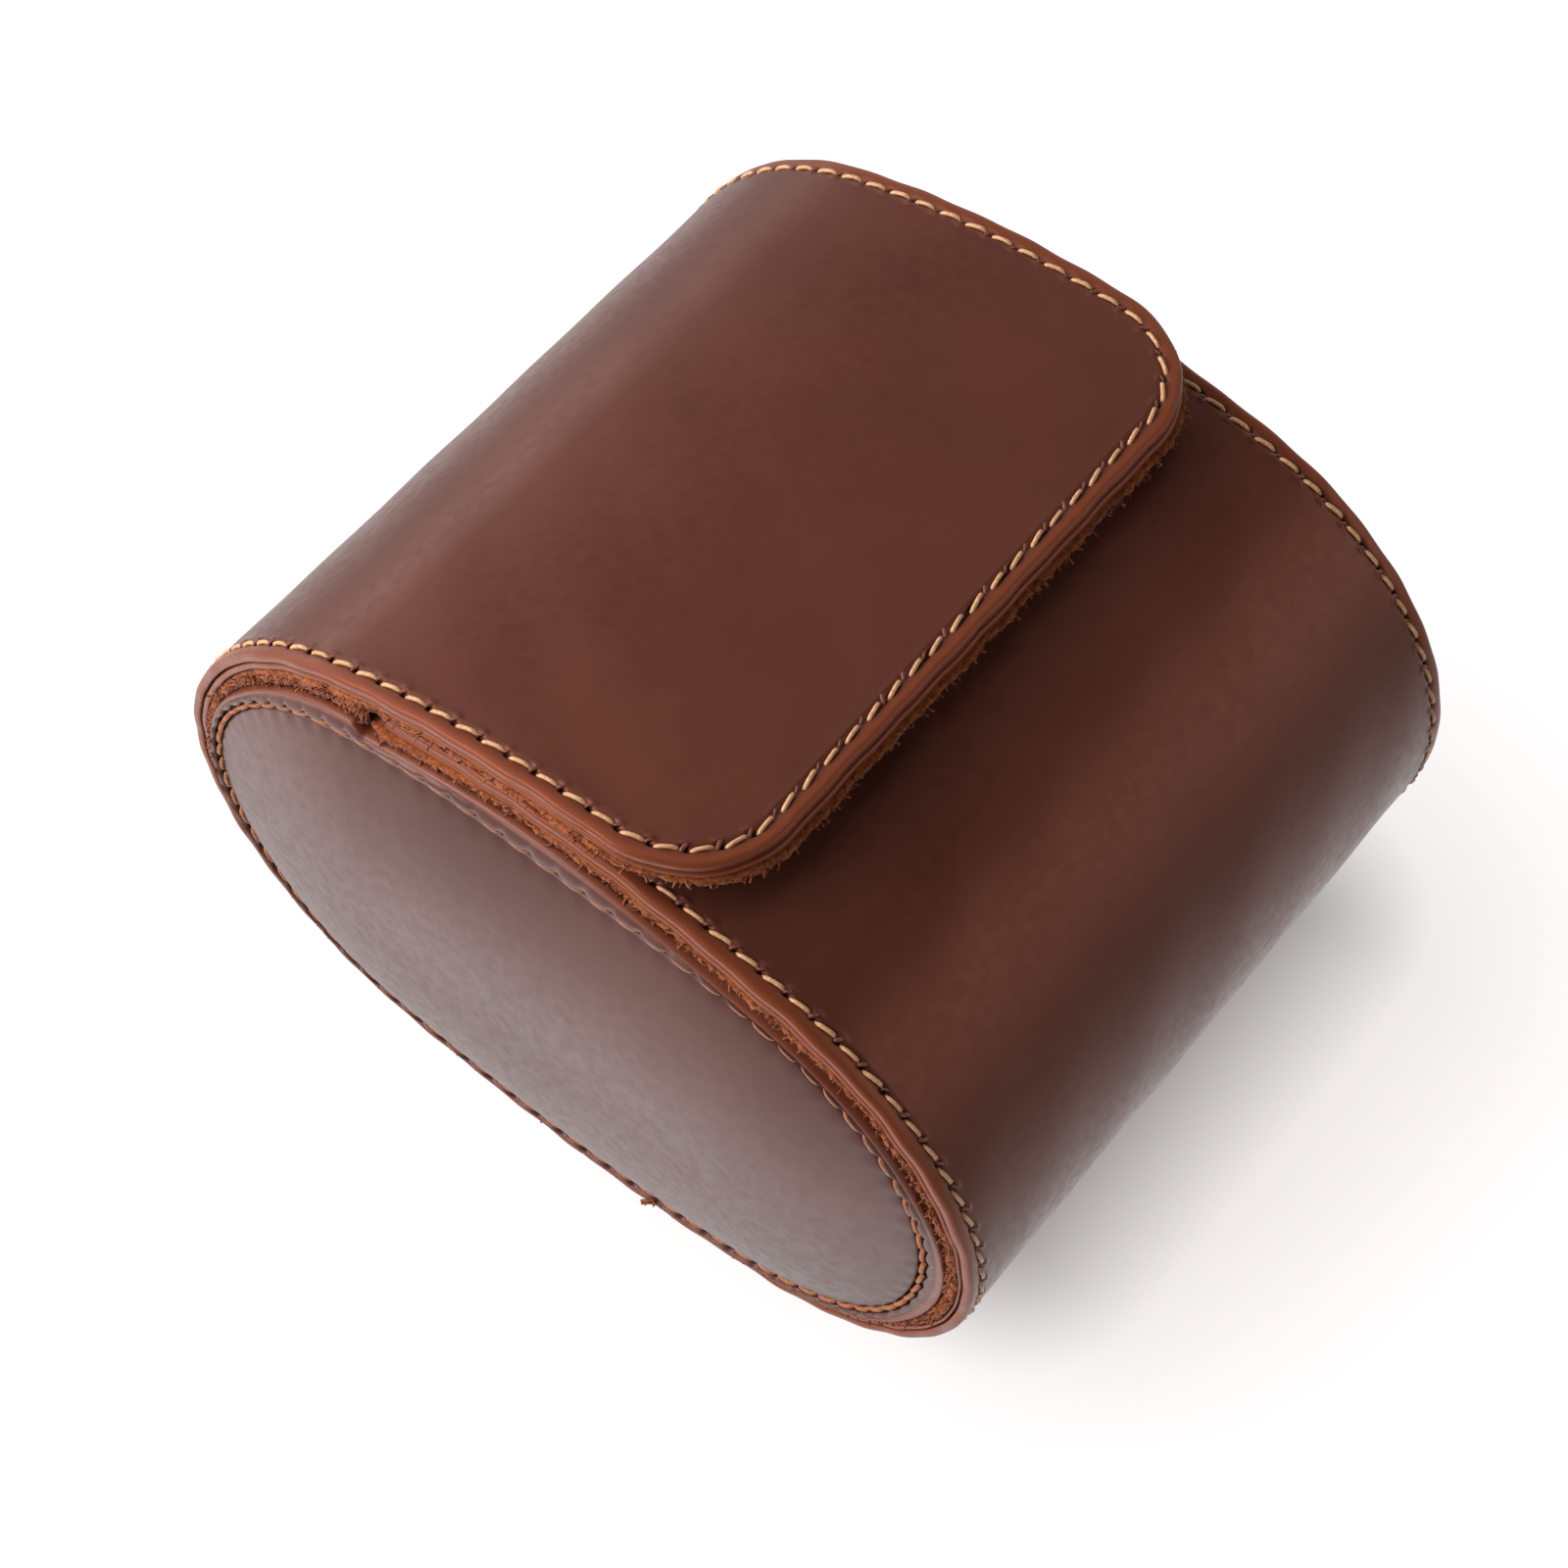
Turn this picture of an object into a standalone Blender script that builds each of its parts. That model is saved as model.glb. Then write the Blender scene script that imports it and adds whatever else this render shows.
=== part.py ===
# Watch roll: a leather strip of three plies wrapped round two padded oval caps, with a closing
# flap, a front panel whose free end lies under it, and a watch cushion that lifts out.
# Metres. X runs along the roll, -Y is the front, Z is up, and the origin is on the floor.
import bmesh
import bpy
import math
from mathutils import Vector

# Section of the closed roll, measured over the face leather: a four-arc oval, whose end arcs
# are a little smaller than half its height, so that the broad arcs between them crown
ROLL_WIDTH = 0.0900
HALF_DEPTH = 0.0562
HALF_HEIGHT = 0.0377
CROWN_RELIEF = 0.0022
FLAT_HALF = 0.0090
HINGE_DROP = 0.0080

# Plies of the strip, from the outside in
GAP = 0.0003
LEATHER = 0.0012
BACKING = 0.0007
LINING = 0.0007
FRONT_FLUFF_SHARE = 0.8
FLAP_FLUFF = 0.0005
FLAP_FLUFF_RUN_SHARE = 0.33
FLAP_FLARE = 0.0010

# Edges of the plies
EDGE_ROUND = 0.0005
EDGE_CHAMFER = 0.0002
BACKING_SETBACK = 0.0002
EDGE_MARGIN = 0.0034

# Stitching: a thread lies flush in a groove along the edge
THREAD = 0.0005
STITCH_INSET = 0.0020
GROOVE_DEPTH = 0.0008

# The flap and the free end of the front panel
FLAP_REACH = 0.0205
FLAP_CORNER = 0.0130
FLAP_RISE_RUN = 0.0340
FLAP_STEP = 0.0036
FLAP_STEP_SLOPE_SHARE = 0.13
FLAP_TIP_LIFT = 0.0073
FLAP_TIP_SLOPE_SHARE = 0.05
FRONT_TUCK = 0.0290
FRONT_CORNER = 0.0070
FRONT_BULGE = 0.0015
BULGE_BACK_RUN = 0.0270
BULGE_FRONT_RUN = 0.0320

# End caps, from the outside in
CAP_PROUD = 0.00125
CAP_LEATHER = 0.0013
CAP_CROWN = 0.0051
CAP_FACE_STEP = 0.0009
CAP_RIM_WIDTH = 0.0013
CAP_RIM_ROUND = 0.0009
CAP_FOAM_EDGE = 0.0003
CAP_BOARD = 0.0020
CAP_LINING = 0.0010
CAP_CENTRE_SHARE = 0.875
CAP_DENT = 0.0010
CAP_DENT_PLACE = 0.0030
CAP_DENT_RUN = 0.0240

# Watch cushion
CUSHION_HALF_DEPTH = 0.0310
CUSHION_HALF_HEIGHT = 0.0220
CUSHION_CROWN_RELIEF = 0.0050
CUSHION_COVER = 0.0010
CUSHION_DRAW = 0.0046
CUSHION_END_EDGE = 0.0006
CUSHION_END_CROWN = 0.0008
CUSHION_END_SETBACK = 0.0120

# Hidden closing magnets
MAGNET_DIAMETER = 0.0080
MAGNET = 0.0005
MAGNET_SPREAD = 0.0200
MAGNET_PLACE = 0.0020

# Counts
BROAD_STEPS = 3
END_STEPS = 8
CORNER_STEPS = 5
ROUND_SIDES = 24
CUSHION_BROAD_STEPS = 3
CUSHION_END_STEPS = 5
DOME_SHARES = (0.0, 0.12, 0.30, 0.55, 1.0)
SLEEVE_SHARES = (-1.0, -0.9, -0.7, -0.4, 0.0, 0.4, 0.7, 0.9, 1.0)
MIN_STEP_SHARE = 0.25
SHARP_ANGLE = math.radians(35)

HALF_WIDTH = ROLL_WIDTH / 2
BACKING_TOP = LEATHER + GAP
LINING_TOP = BACKING_TOP + BACKING + GAP
GROOVE_NEAR = STITCH_INSET - THREAD / 2 - GAP
GROOVE_FAR = STITCH_INSET + THREAD / 2 + GAP


class Oval:
    """A closed curve of two end arcs and two broad arcs that meet smoothly."""

    def __init__(self, half_depth, half_height, relief):
        self.depth, self.height, self.end = half_depth, half_height, half_height - relief
        offset = half_depth - self.end
        self.broad = (offset ** 2 + half_height ** 2 - self.end ** 2) / (2 * relief)
        self.lean = math.atan2(offset, self.broad - half_height)
        self.broad_length = self.broad * self.lean
        self.quarter = self.broad_length + self.end * (math.pi / 2 - self.lean)
        self.length = 4 * self.quarter

    def corner(self, angle, inset):
        """Place on the upper front quarter, at an angle from straight up."""
        if angle <= self.lean:
            radius = self.broad - inset
            return radius * math.sin(angle), self.height - self.broad + radius * math.cos(angle)
        radius = self.end - inset
        return self.depth - self.end + radius * math.sin(angle), radius * math.cos(angle)

    def along(self, run, inset=0):
        """Place and outward direction (front, up) at a run from the top towards the front."""
        turn, rest = divmod(run % self.length, self.quarter)
        quarter = int(turn) % 4
        if quarter in (1, 3):
            rest = self.quarter - rest
        if rest <= self.broad_length:
            angle = rest / self.broad
        else:
            angle = self.lean + (rest - self.broad_length) / self.end
        front, up = self.corner(angle, inset)
        side = 1 if quarter in (0, 1) else -1
        rise = 1 if quarter in (0, 3) else -1
        return (side * front, rise * up), (side * math.sin(angle), rise * math.cos(angle))

    def runs(self, broad_steps, end_steps, flat_half):
        """Runs from the top all the way round where the facets meet, with a flat at the bottom."""
        end_length = self.quarter - self.broad_length
        upper = [self.broad_length * i / broad_steps for i in range(broad_steps)]
        upper += [self.broad_length + end_length * i / end_steps for i in range(end_steps)]
        flat_run = self.broad * math.asin(flat_half / self.broad)
        lower = [self.quarter + end_length * i / end_steps for i in range(end_steps)]
        middle = (self.broad_length + flat_run) / 2
        lower += [2 * self.quarter - run for run in (self.broad_length, middle, flat_run)]
        front = upper + lower
        return front + [self.length - run for run in reversed(front) if run > 0]


SECTION = Oval(HALF_DEPTH, HALF_HEIGHT, CROWN_RELIEF)
RUNS = SECTION.runs(BROAD_STEPS, END_STEPS, FLAT_HALF)
CENTRE_UP = SECTION.broad * math.cos(math.asin(FLAT_HALF / SECTION.broad)) - SECTION.broad + HALF_HEIGHT
FRONT_HINGE = SECTION.quarter + SECTION.end * math.asin(HINGE_DROP / SECTION.end)
BACK_HINGE = SECTION.length - FRONT_HINGE
FLAP_END = SECTION.length + FLAP_REACH
MIN_STEP = MIN_STEP_SHARE * SECTION.broad_length / BROAD_STEPS


def bump(distance, reach):
    """Falls smoothly from 1 at no distance to 0 at the reach."""
    return math.cos(min(1, abs(distance) / reach) * math.pi / 2) ** 2


def curve(share, length, low, high, low_slope, high_slope):
    """A smooth curve over a length, from its heights and slopes at both ends."""
    share = min(1, max(0, share))
    toward = share * share * (3 - 2 * share)
    leave = share * (1 - share) ** 2
    arrive = share * share * (share - 1)
    return low + (high - low) * toward + length * (low_slope * leave + high_slope * arrive)


def flap_share(run):
    """Where a run is between the tip of the tucked front panel, 0, and the tip of the flap, 1."""
    return (run - SECTION.length + FRONT_TUCK) / (FLAP_REACH + FRONT_TUCK)


def strip_lift(run):
    """How far the strip stands off the oval: the free end of the front bulges, the flap rises over it."""
    if run < FRONT_HINGE:
        return FRONT_BULGE * bump(run, BULGE_FRONT_RUN if run > 0 else BULGE_BACK_RUN)
    if run < BACK_HINGE:
        return 0
    share = flap_share(run)
    if share > 0:
        return curve(share, FLAP_REACH + FRONT_TUCK, FLAP_STEP, FLAP_TIP_LIFT,
                     FLAP_STEP_SLOPE_SHARE, FLAP_TIP_SLOPE_SHARE)
    rise = 1 + share * (FLAP_REACH + FRONT_TUCK) / FLAP_RISE_RUN
    return curve(rise, FLAP_RISE_RUN, 0, FLAP_STEP, 0, FLAP_STEP_SLOPE_SHARE)


def lining_thickness(run):
    """The suede is pressed thin against the caps and fluffs up where the strip stands off them."""
    if run < FRONT_HINGE:
        return LINING + FRONT_FLUFF_SHARE * strip_lift(run)
    share = max(0, flap_share(run)) if run > BACK_HINGE else 0
    fluff = FLAP_FLUFF * bump(1 - min(1, share / FLAP_FLUFF_RUN_SHARE), 1)
    return LINING + fluff + FLAP_FLARE * share ** 3


def strip_point(run, across, depth):
    """World place of a point of the strip: its run, its place across, and its depth under the face."""
    (front, up), (out_front, out_up) = SECTION.along(run)
    off = strip_lift(run) - depth
    return Vector((across, -(front + out_front * off), CENTRE_UP + up + out_up * off))


def strip_runs(start, end):
    """Facet runs from start to end, in that order."""
    low, high = min(start, end), max(start, end)
    inner = [turn * SECTION.length + run for turn in (-1, 0, 1) for run in RUNS]
    inner = [run for run in sorted(inner) if low + MIN_STEP < run < high - MIN_STEP]
    runs = [low] + inner + [high]
    return runs if start < end else runs[::-1]


def strip_rows(cut, end, corner, setback=0):
    """Rows of a strip. Each row is a function from an inset to the place (run, across)."""
    half = HALF_WIDTH - setback
    toward = 1 if end > cut else -1
    tip = end - toward * setback if corner else end
    radius = max(corner - setback, 0)
    turn = tip - toward * radius
    rows = [lambda inset, run=run: (run, half - inset) for run in strip_runs(cut, turn)]
    for step in range(1, CORNER_STEPS + 1) if corner else ():
        angle = math.pi / 2 * step / CORNER_STEPS
        rows.append(lambda inset, a=angle: (turn + toward * (radius - inset) * math.sin(a),
                                            half - radius + (radius - inset) * math.cos(a)))
    return rows


def material(name, color, roughness, metallic=0.0):
    """A plain material in the colour of the piece."""
    made = bpy.data.materials.new(name)
    made.use_nodes = True
    shader = made.node_tree.nodes["Principled BSDF"]
    shader.inputs["Base Color"].default_value = (*color, 1)
    shader.inputs["Roughness"].default_value = roughness
    shader.inputs["Metallic"].default_value = metallic
    return made


def piece(name, points, faces, finish, carrier=None):
    """One named object from world points and faces, hung on its carrier's empty if it moves."""
    origin = carrier.location if carrier else Vector((0, 0, 0))
    mesh = bpy.data.meshes.new(name)
    mesh.from_pydata([point - origin for point in points], [], faces)
    shell = bmesh.new()
    shell.from_mesh(mesh)
    bmesh.ops.recalc_face_normals(shell, faces=shell.faces)
    shell.to_mesh(mesh)
    shell.free()
    mesh.shade_smooth()
    mesh.set_sharp_from_angle(angle=SHARP_ANGLE)
    mesh.materials.append(finish)
    made = bpy.data.objects.new(name, mesh)
    made.parent = carrier
    bpy.context.scene.collection.objects.link(made)
    return made


def empty(name, place):
    """An empty on a joint's axis, which carries the pieces that move with it."""
    made = bpy.data.objects.new(name, None)
    made.location = place
    bpy.context.scene.collection.objects.link(made)
    return made


def ply(name, rows, profile, finish, carrier, round_end):
    """A solid ply of the strip. The profile gives (inset, depth as a function of the run)."""
    points, index = [], {}
    for number, row in enumerate(rows):
        for side in (-1, 1):
            for step, (inset, depth) in enumerate(profile):
                run, across = row(inset)
                index[number, side, step] = len(points)
                points.append(strip_point(run, side * across, depth(run)))
    faces = []
    last, top = len(rows) - 1, len(profile) - 1
    for number in range(last):
        for side in (-1, 1):
            for step in range(top):
                faces.append([index[number, side, step], index[number, side, step + 1],
                              index[number + 1, side, step + 1], index[number + 1, side, step]])
        for step in (0, top):
            faces.append([index[number, -1, step], index[number, 1, step],
                          index[number + 1, 1, step], index[number + 1, -1, step]])
    border = [(-1, step) for step in range(top + 1)] + [(1, step) for step in range(top, -1, -1)]
    faces.append([index[0, side, step] for side, step in border])
    if round_end:
        for step in range(top):
            faces.append([index[last, -1, step], index[last, -1, step + 1],
                          index[last, 1, step + 1], index[last, 1, step]])
    else:
        faces.append([index[last, side, step] for side, step in border])
    return piece(name, points, faces, finish, carrier)


def level(depth):
    """The same depth all along the strip."""
    return lambda run: depth


def lining_floor(run):
    """Depth of the lining's inner face."""
    return LINING_TOP + lining_thickness(run)


def leather_profile():
    """Section of the face leather's edge: rounded, with a stitching groove, from inside to outside."""
    turn = EDGE_ROUND * (1 - math.sin(math.pi / 4))
    return [(EDGE_MARGIN, level(LEATHER)), (EDGE_CHAMFER, level(LEATHER)),
            (0, level(LEATHER - EDGE_CHAMFER)), (0, level(EDGE_ROUND)), (turn, level(turn)),
            (EDGE_ROUND, level(0)), (GROOVE_NEAR, level(0)), (GROOVE_NEAR, level(GROOVE_DEPTH)),
            (GROOVE_FAR, level(GROOVE_DEPTH)), (GROOVE_FAR, level(0)), (EDGE_MARGIN, level(0))]


def backing_profile():
    """Section of the second ply's edge, with both corners taken off."""
    top, bottom = BACKING_TOP, BACKING_TOP + BACKING
    return [(EDGE_MARGIN, level(bottom)), (EDGE_CHAMFER, level(bottom)),
            (0, level(bottom - EDGE_CHAMFER)), (0, level(top + EDGE_CHAMFER)),
            (EDGE_CHAMFER, level(top)), (EDGE_MARGIN, level(top))]


def lining_profile():
    """Section of the suede's raw edge."""
    return [(EDGE_MARGIN, lining_floor), (0, lining_floor), (0, level(LINING_TOP)),
            (EDGE_MARGIN, level(LINING_TOP))]


def thread(name, path, finish, carrier):
    """A run of square thread in the groove, along a list of (row, side)."""
    near, far = STITCH_INSET - THREAD / 2, STITCH_INSET + THREAD / 2
    section = ((near, 0), (near, THREAD), (far, THREAD), (far, 0))
    rings = []
    for row, side in path:
        places = [(row(inset), depth) for inset, depth in section]
        rings.append([strip_point(run, side * across, depth) for (run, across), depth in places])
    points, faces = loft(rings, closed=False)
    piece(name, points, faces, finish, carrier)


def panel(name, cut, end, corner, finishes, carrier):
    """The three plies and the edge stitching of one stretch of the strip."""
    rows = strip_rows(cut, end, corner)
    inner_rows = strip_rows(cut, end, corner, BACKING_SETBACK)
    ply(name + "_leather", rows, leather_profile(), finishes["leather"], carrier, corner > 0)
    backing = ply(name + "_backing", inner_rows, backing_profile(), finishes["edge"], carrier, corner > 0)
    ply(name + "_lining", rows, lining_profile(), finishes["suede"], carrier, corner > 0)
    left, right = [(row, -1) for row in rows], [(row, 1) for row in rows]
    if corner:
        thread(name + "_thread", left + right[::-1], finishes["thread"], carrier)
    else:
        thread(name + "_thread_left", left, finishes["thread"], carrier)
        thread(name + "_thread_right", right, finishes["thread"], carrier)
    return backing


def disc(name, centre, out, radius, half_height, finish, carrier):
    """A flat round disc, square to the direction out."""
    turn = out.to_track_quat("Z", "Y").to_matrix()
    angles = [2 * math.pi * i / ROUND_SIDES for i in range(ROUND_SIDES)]
    rings = [[centre + turn @ Vector((radius * math.cos(a), radius * math.sin(a), height)) for a in angles]
             for height in (-half_height, half_height)]
    points, faces = loft(rings, closed=False)
    return piece(name, points, faces, finish, carrier)


def magnets(name, run, backing, finish, carrier):
    """Two discs, each let into a window that is cut through the second ply."""
    radius = MAGNET_DIAMETER / 2
    depth = BACKING_TOP + BACKING / 2
    fore, aft = strip_point(run + radius, 0, depth), strip_point(run - radius, 0, depth)
    out = (fore - aft).cross(Vector((1, 0, 0))).normalized()
    for side, side_name in ((-1, "_left"), (1, "_right")):
        centre = strip_point(run, side * MAGNET_SPREAD, depth)
        disc(name + side_name, centre, out, radius, MAGNET / 2, finish, carrier)
        cutter = disc(name + "_window" + side_name, centre, out, radius + GAP, BACKING, finish, carrier)
        cutter.hide_render = True
        cutter.display_type = "WIRE"
        cut = backing.modifiers.new(cutter.name, "BOOLEAN")
        cut.operation = "DIFFERENCE"
        cut.solver = "EXACT"
        cut.object = cutter


def ring(oval, runs, inset, across, centre):
    """Points round an oval, at an inset worked out from the run, in the plane at a place across."""
    places = [oval.along(run, inset(run))[0] for run in runs]
    return [Vector((across, centre.y - front, centre.z + up)) for front, up in places]


def loft(rings, closed):
    """Faces between rings of alike count, with filled ends or, if closed, joined first to last."""
    count = len(rings[0])
    pairs = list(zip(range(len(rings) - 1), range(1, len(rings))))
    if closed:
        pairs.append((len(rings) - 1, 0))
    faces = []
    for here, there in pairs:
        for i in range(count):
            after = (i + 1) % count
            faces.append([here * count + i, here * count + after, there * count + after, there * count + i])
    if not closed:
        faces.append(list(range(count)))
        faces.append([(len(rings) - 1) * count + i for i in range(count)])
    return [point for loop in rings for point in loop], faces


def cap(name, side, finishes):
    """One padded end cap: leather cup, stitches, foam, board and suede, set inside the strip."""
    outer = LINING_TOP + LINING + GAP
    centre = Vector((0, 0, CENTRE_UP))
    groove_near = CAP_RIM_WIDTH
    groove_far = groove_near + THREAD + 2 * GAP
    span = CAP_CENTRE_SHARE * (SECTION.end - outer) - groove_far
    thread_top = CAP_FACE_STEP + THREAD / 2
    groove_floor = thread_top - THREAD - GAP
    under = groove_floor - CAP_LEATHER / 2
    skirt_end = under - 2 * GAP - CAP_FOAM_EDGE - CAP_BOARD
    rim_turn = CAP_RIM_ROUND * (1 - math.sin(math.pi / 4))

    def face_height(inset):
        share = min(1, max(0, (inset - groove_far) / span))
        return CAP_FACE_STEP + CAP_CROWN * (1 - (1 - share) ** 2)

    def dented(inset, run):
        past = run if run < SECTION.length / 2 else run - SECTION.length
        return outer + inset + CAP_DENT * bump(past - CAP_DENT_PLACE, CAP_DENT_RUN)

    def solid(part, profile, finish, closed=False):
        rings = [ring(SECTION, RUNS, lambda run, inset=inset: dented(inset, run),
                      side * (HALF_WIDTH + height), centre) for inset, height in profile]
        points, faces = loft(rings, closed)
        piece(name + part, points, faces, finish)

    insets = [groove_far + span * share for share in DOME_SHARES]
    face = [(inset, face_height(inset)) for inset in insets]
    inner = [(inset + CAP_LEATHER / 2 if step == 0 else inset, max(under, height - CAP_LEATHER))
             for step, (inset, height) in enumerate(face)]
    rim = [(groove_far, groove_floor), (groove_near, groove_floor),
           (groove_near, CAP_PROUD - rim_turn), (CAP_RIM_ROUND, CAP_PROUD),
           (rim_turn, CAP_PROUD - rim_turn), (0, CAP_PROUD - CAP_RIM_ROUND)]
    skirt = [(0, skirt_end), (CAP_LEATHER, skirt_end), (CAP_LEATHER, under)]
    solid("_leather", face[::-1] + rim + skirt + inner, finishes["cap"])
    near, far = groove_near + GAP, groove_near + GAP + THREAD
    solid("_thread", [(near, thread_top), (far, thread_top), (far, thread_top - THREAD),
                      (near, thread_top - THREAD)], finishes["dark_thread"], closed=True)
    wall = CAP_LEATHER + GAP
    board_top = under - GAP - CAP_FOAM_EDGE - GAP
    foam = [(wall, board_top + GAP), (wall, under - GAP)]
    foam += [(inset, height - GAP) for inset, height in inner]
    solid("_foam", foam, finishes["foam"])
    solid("_board", [(wall, skirt_end), (wall, board_top)], finishes["board"])
    solid("_lining", [(GAP, skirt_end - GAP - CAP_LINING), (GAP, skirt_end - GAP)], finishes["suede"])
    return HALF_WIDTH + skirt_end - GAP - CAP_LINING


def cushion(half_space, finishes):
    """The watch cushion: a stuffed sleeve that swells in the middle, with a closed end each side."""
    oval = Oval(CUSHION_HALF_DEPTH, CUSHION_HALF_HEIGHT, CUSHION_CROWN_RELIEF)
    runs = oval.runs(CUSHION_BROAD_STEPS, CUSHION_END_STEPS, 0)
    runs = [run for step, run in enumerate(runs) if step == 0 or run - runs[step - 1] > 0]
    floor = strip_point(SECTION.length / 2 + FLAT_HALF, 0, LINING_TOP + LINING).z
    centre = Vector((0, 0, floor + GAP + CUSHION_HALF_HEIGHT))
    carrier = empty("cushion_lift_axis", centre)
    half = half_space - GAP
    end_plane = half - CUSHION_END_CROWN - CUSHION_END_EDGE
    sleeve_half = end_plane - GAP

    def drawn(share):
        return CUSHION_DRAW * share ** 4

    def rings(depth):
        return [ring(oval, runs, level(drawn(share) + depth), share * sleeve_half, centre)
                for share in SLEEVE_SHARES]

    points, faces = loft(rings(0) + rings(CUSHION_COVER)[::-1], closed=True)
    piece("cushion_cover", points, faces, finishes["cushion"], carrier)
    points, faces = loft(rings(CUSHION_COVER + GAP), closed=False)
    piece("cushion_foam", points, faces, finishes["foam"], carrier)
    for name, side in (("left", -1), ("right", 1)):
        profile = [(CUSHION_DRAW, end_plane), (CUSHION_DRAW, end_plane + CUSHION_END_EDGE),
                   (CUSHION_END_SETBACK, half)]
        layers = [ring(oval, runs, level(inset), side * place, centre) for inset, place in profile]
        points, faces = loft(layers, closed=False)
        piece("cushion_end_" + name, points, faces, finishes["cushion"], carrier)


def build():
    """The whole watch roll."""
    for old in list(bpy.data.objects):
        bpy.data.objects.remove(old, do_unlink=True)
    finishes = {
        "leather": material("waxed_leather", (0.125, 0.040, 0.027), 0.38),
        "edge": material("burnished_edge", (0.190, 0.055, 0.025), 0.45),
        "suede": material("suede", (0.430, 0.130, 0.035), 0.95),
        "thread": material("waxed_thread", (0.640, 0.350, 0.140), 0.55),
        "dark_thread": material("brown_thread", (0.200, 0.075, 0.035), 0.60),
        "cap": material("cap_leather", (0.160, 0.075, 0.062), 0.36),
        "foam": material("foam", (0.750, 0.720, 0.660), 0.95),
        "board": material("greyboard", (0.330, 0.290, 0.240), 0.90),
        "cushion": material("cushion_suede", (0.300, 0.110, 0.050), 0.90),
        "magnet": material("plated_magnet", (0.620, 0.620, 0.640), 0.30, 1.0),
    }
    front_axis = empty("front_hinge_axis", strip_point(FRONT_HINGE, 0, 0))
    flap_axis = empty("flap_hinge_axis", strip_point(BACK_HINGE, 0, 0))
    panel("body", FRONT_HINGE + GAP / 2, BACK_HINGE - GAP / 2, 0, finishes, None)
    front_backing = panel("front", FRONT_HINGE - GAP / 2, -FRONT_TUCK, FRONT_CORNER, finishes, front_axis)
    flap_backing = panel("flap", BACK_HINGE + GAP / 2, FLAP_END, FLAP_CORNER, finishes, flap_axis)
    magnets("front_magnet", MAGNET_PLACE, front_backing, finishes["magnet"], front_axis)
    magnets("flap_magnet", SECTION.length + MAGNET_PLACE, flap_backing, finishes["magnet"], flap_axis)
    half_space = cap("left_cap", -1, finishes)
    cap("right_cap", 1, finishes)
    cushion(half_space, finishes)


build()
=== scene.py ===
# %% [markdown]
# A watch roll, dressed. The imported CAD model is a fixed frame in metres: X runs along the roll, -Y is
# the front and Z is up. Everything made here sits where the CAD says, and the pieces of the caps and the
# cushion ride on one of its bodies.

# %% Load the frame
import math
import bpy
import numpy as np
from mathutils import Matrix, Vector


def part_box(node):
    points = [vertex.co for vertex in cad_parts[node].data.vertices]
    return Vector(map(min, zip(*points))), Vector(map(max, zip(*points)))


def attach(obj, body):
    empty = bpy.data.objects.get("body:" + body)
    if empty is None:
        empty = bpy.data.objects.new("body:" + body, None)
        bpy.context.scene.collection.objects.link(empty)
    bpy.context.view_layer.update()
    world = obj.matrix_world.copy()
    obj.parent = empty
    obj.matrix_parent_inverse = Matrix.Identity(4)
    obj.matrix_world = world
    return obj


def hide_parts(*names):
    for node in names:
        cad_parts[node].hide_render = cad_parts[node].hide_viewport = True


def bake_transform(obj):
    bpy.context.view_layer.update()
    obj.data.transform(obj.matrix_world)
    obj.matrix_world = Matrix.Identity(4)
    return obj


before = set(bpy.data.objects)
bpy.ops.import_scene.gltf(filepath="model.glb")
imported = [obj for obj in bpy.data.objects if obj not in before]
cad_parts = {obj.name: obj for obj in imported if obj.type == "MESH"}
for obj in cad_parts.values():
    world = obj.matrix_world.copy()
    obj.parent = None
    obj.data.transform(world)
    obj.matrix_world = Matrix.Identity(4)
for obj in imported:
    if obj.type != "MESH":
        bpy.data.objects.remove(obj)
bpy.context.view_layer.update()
MM = 0.001

# %% [markdown]
# The camera stands where the photographer stood: high on the left, looking down at 58 degrees. The
# place and the lens come from fitting the roll's outline, so a pixel here is a pixel of the photograph.

# %% Camera
CAMERA_PLACE, CAMERA_AZIMUTH, CAMERA_DOWN = (-0.17329, -0.13370, 0.37912), -51.34, 58.12
SENSOR_MM, LENS_MM = 36, 80.34


def put(name, data):
    """A new object in the scene, at the origin."""
    made = bpy.data.objects.new(name, data)
    bpy.context.scene.collection.objects.link(made)
    return made


camera = put("camera", bpy.data.cameras.new("camera"))
camera.data.sensor_width = SENSOR_MM
camera.data.lens = LENS_MM
camera.location = CAMERA_PLACE
camera.rotation_euler = (math.radians(90 - CAMERA_DOWN), 0, math.radians(CAMERA_AZIMUTH))
bpy.context.scene.camera = camera
print("camera at", tuple(camera.location))

# %% [markdown]
# The closed roll has an oval section made of four arcs. A "run" is a length along that section, which
# starts at the top and grows towards the front, so the floor is at half the oval's length.

# %% The oval section
ROLL_WIDTH, HALF_DEPTH, HALF_HEIGHT, CROWN_RELIEF = 90 * MM, 56.2 * MM, 37.7 * MM, 2.2 * MM
FLAT_HALF, HINGE_DROP = 9 * MM, 8 * MM
HALF = ROLL_WIDTH / 2
END = HALF_HEIGHT - CROWN_RELIEF
OFFSET = HALF_DEPTH - END
BROAD = (OFFSET ** 2 + HALF_HEIGHT ** 2 - END ** 2) / (2 * CROWN_RELIEF)
LEAN = math.atan2(OFFSET, BROAD - HALF_HEIGHT)
QUARTER = BROAD * LEAN + END * (math.pi / 2 - LEAN)
LENGTH = 4 * QUARTER
CENTRE_UP = BROAD * math.cos(math.asin(FLAT_HALF / BROAD)) - BROAD + HALF_HEIGHT
FRONT_HINGE = QUARTER + END * math.asin(HINGE_DROP / END)
FRONT_END = QUARTER + 4 * MM


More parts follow.
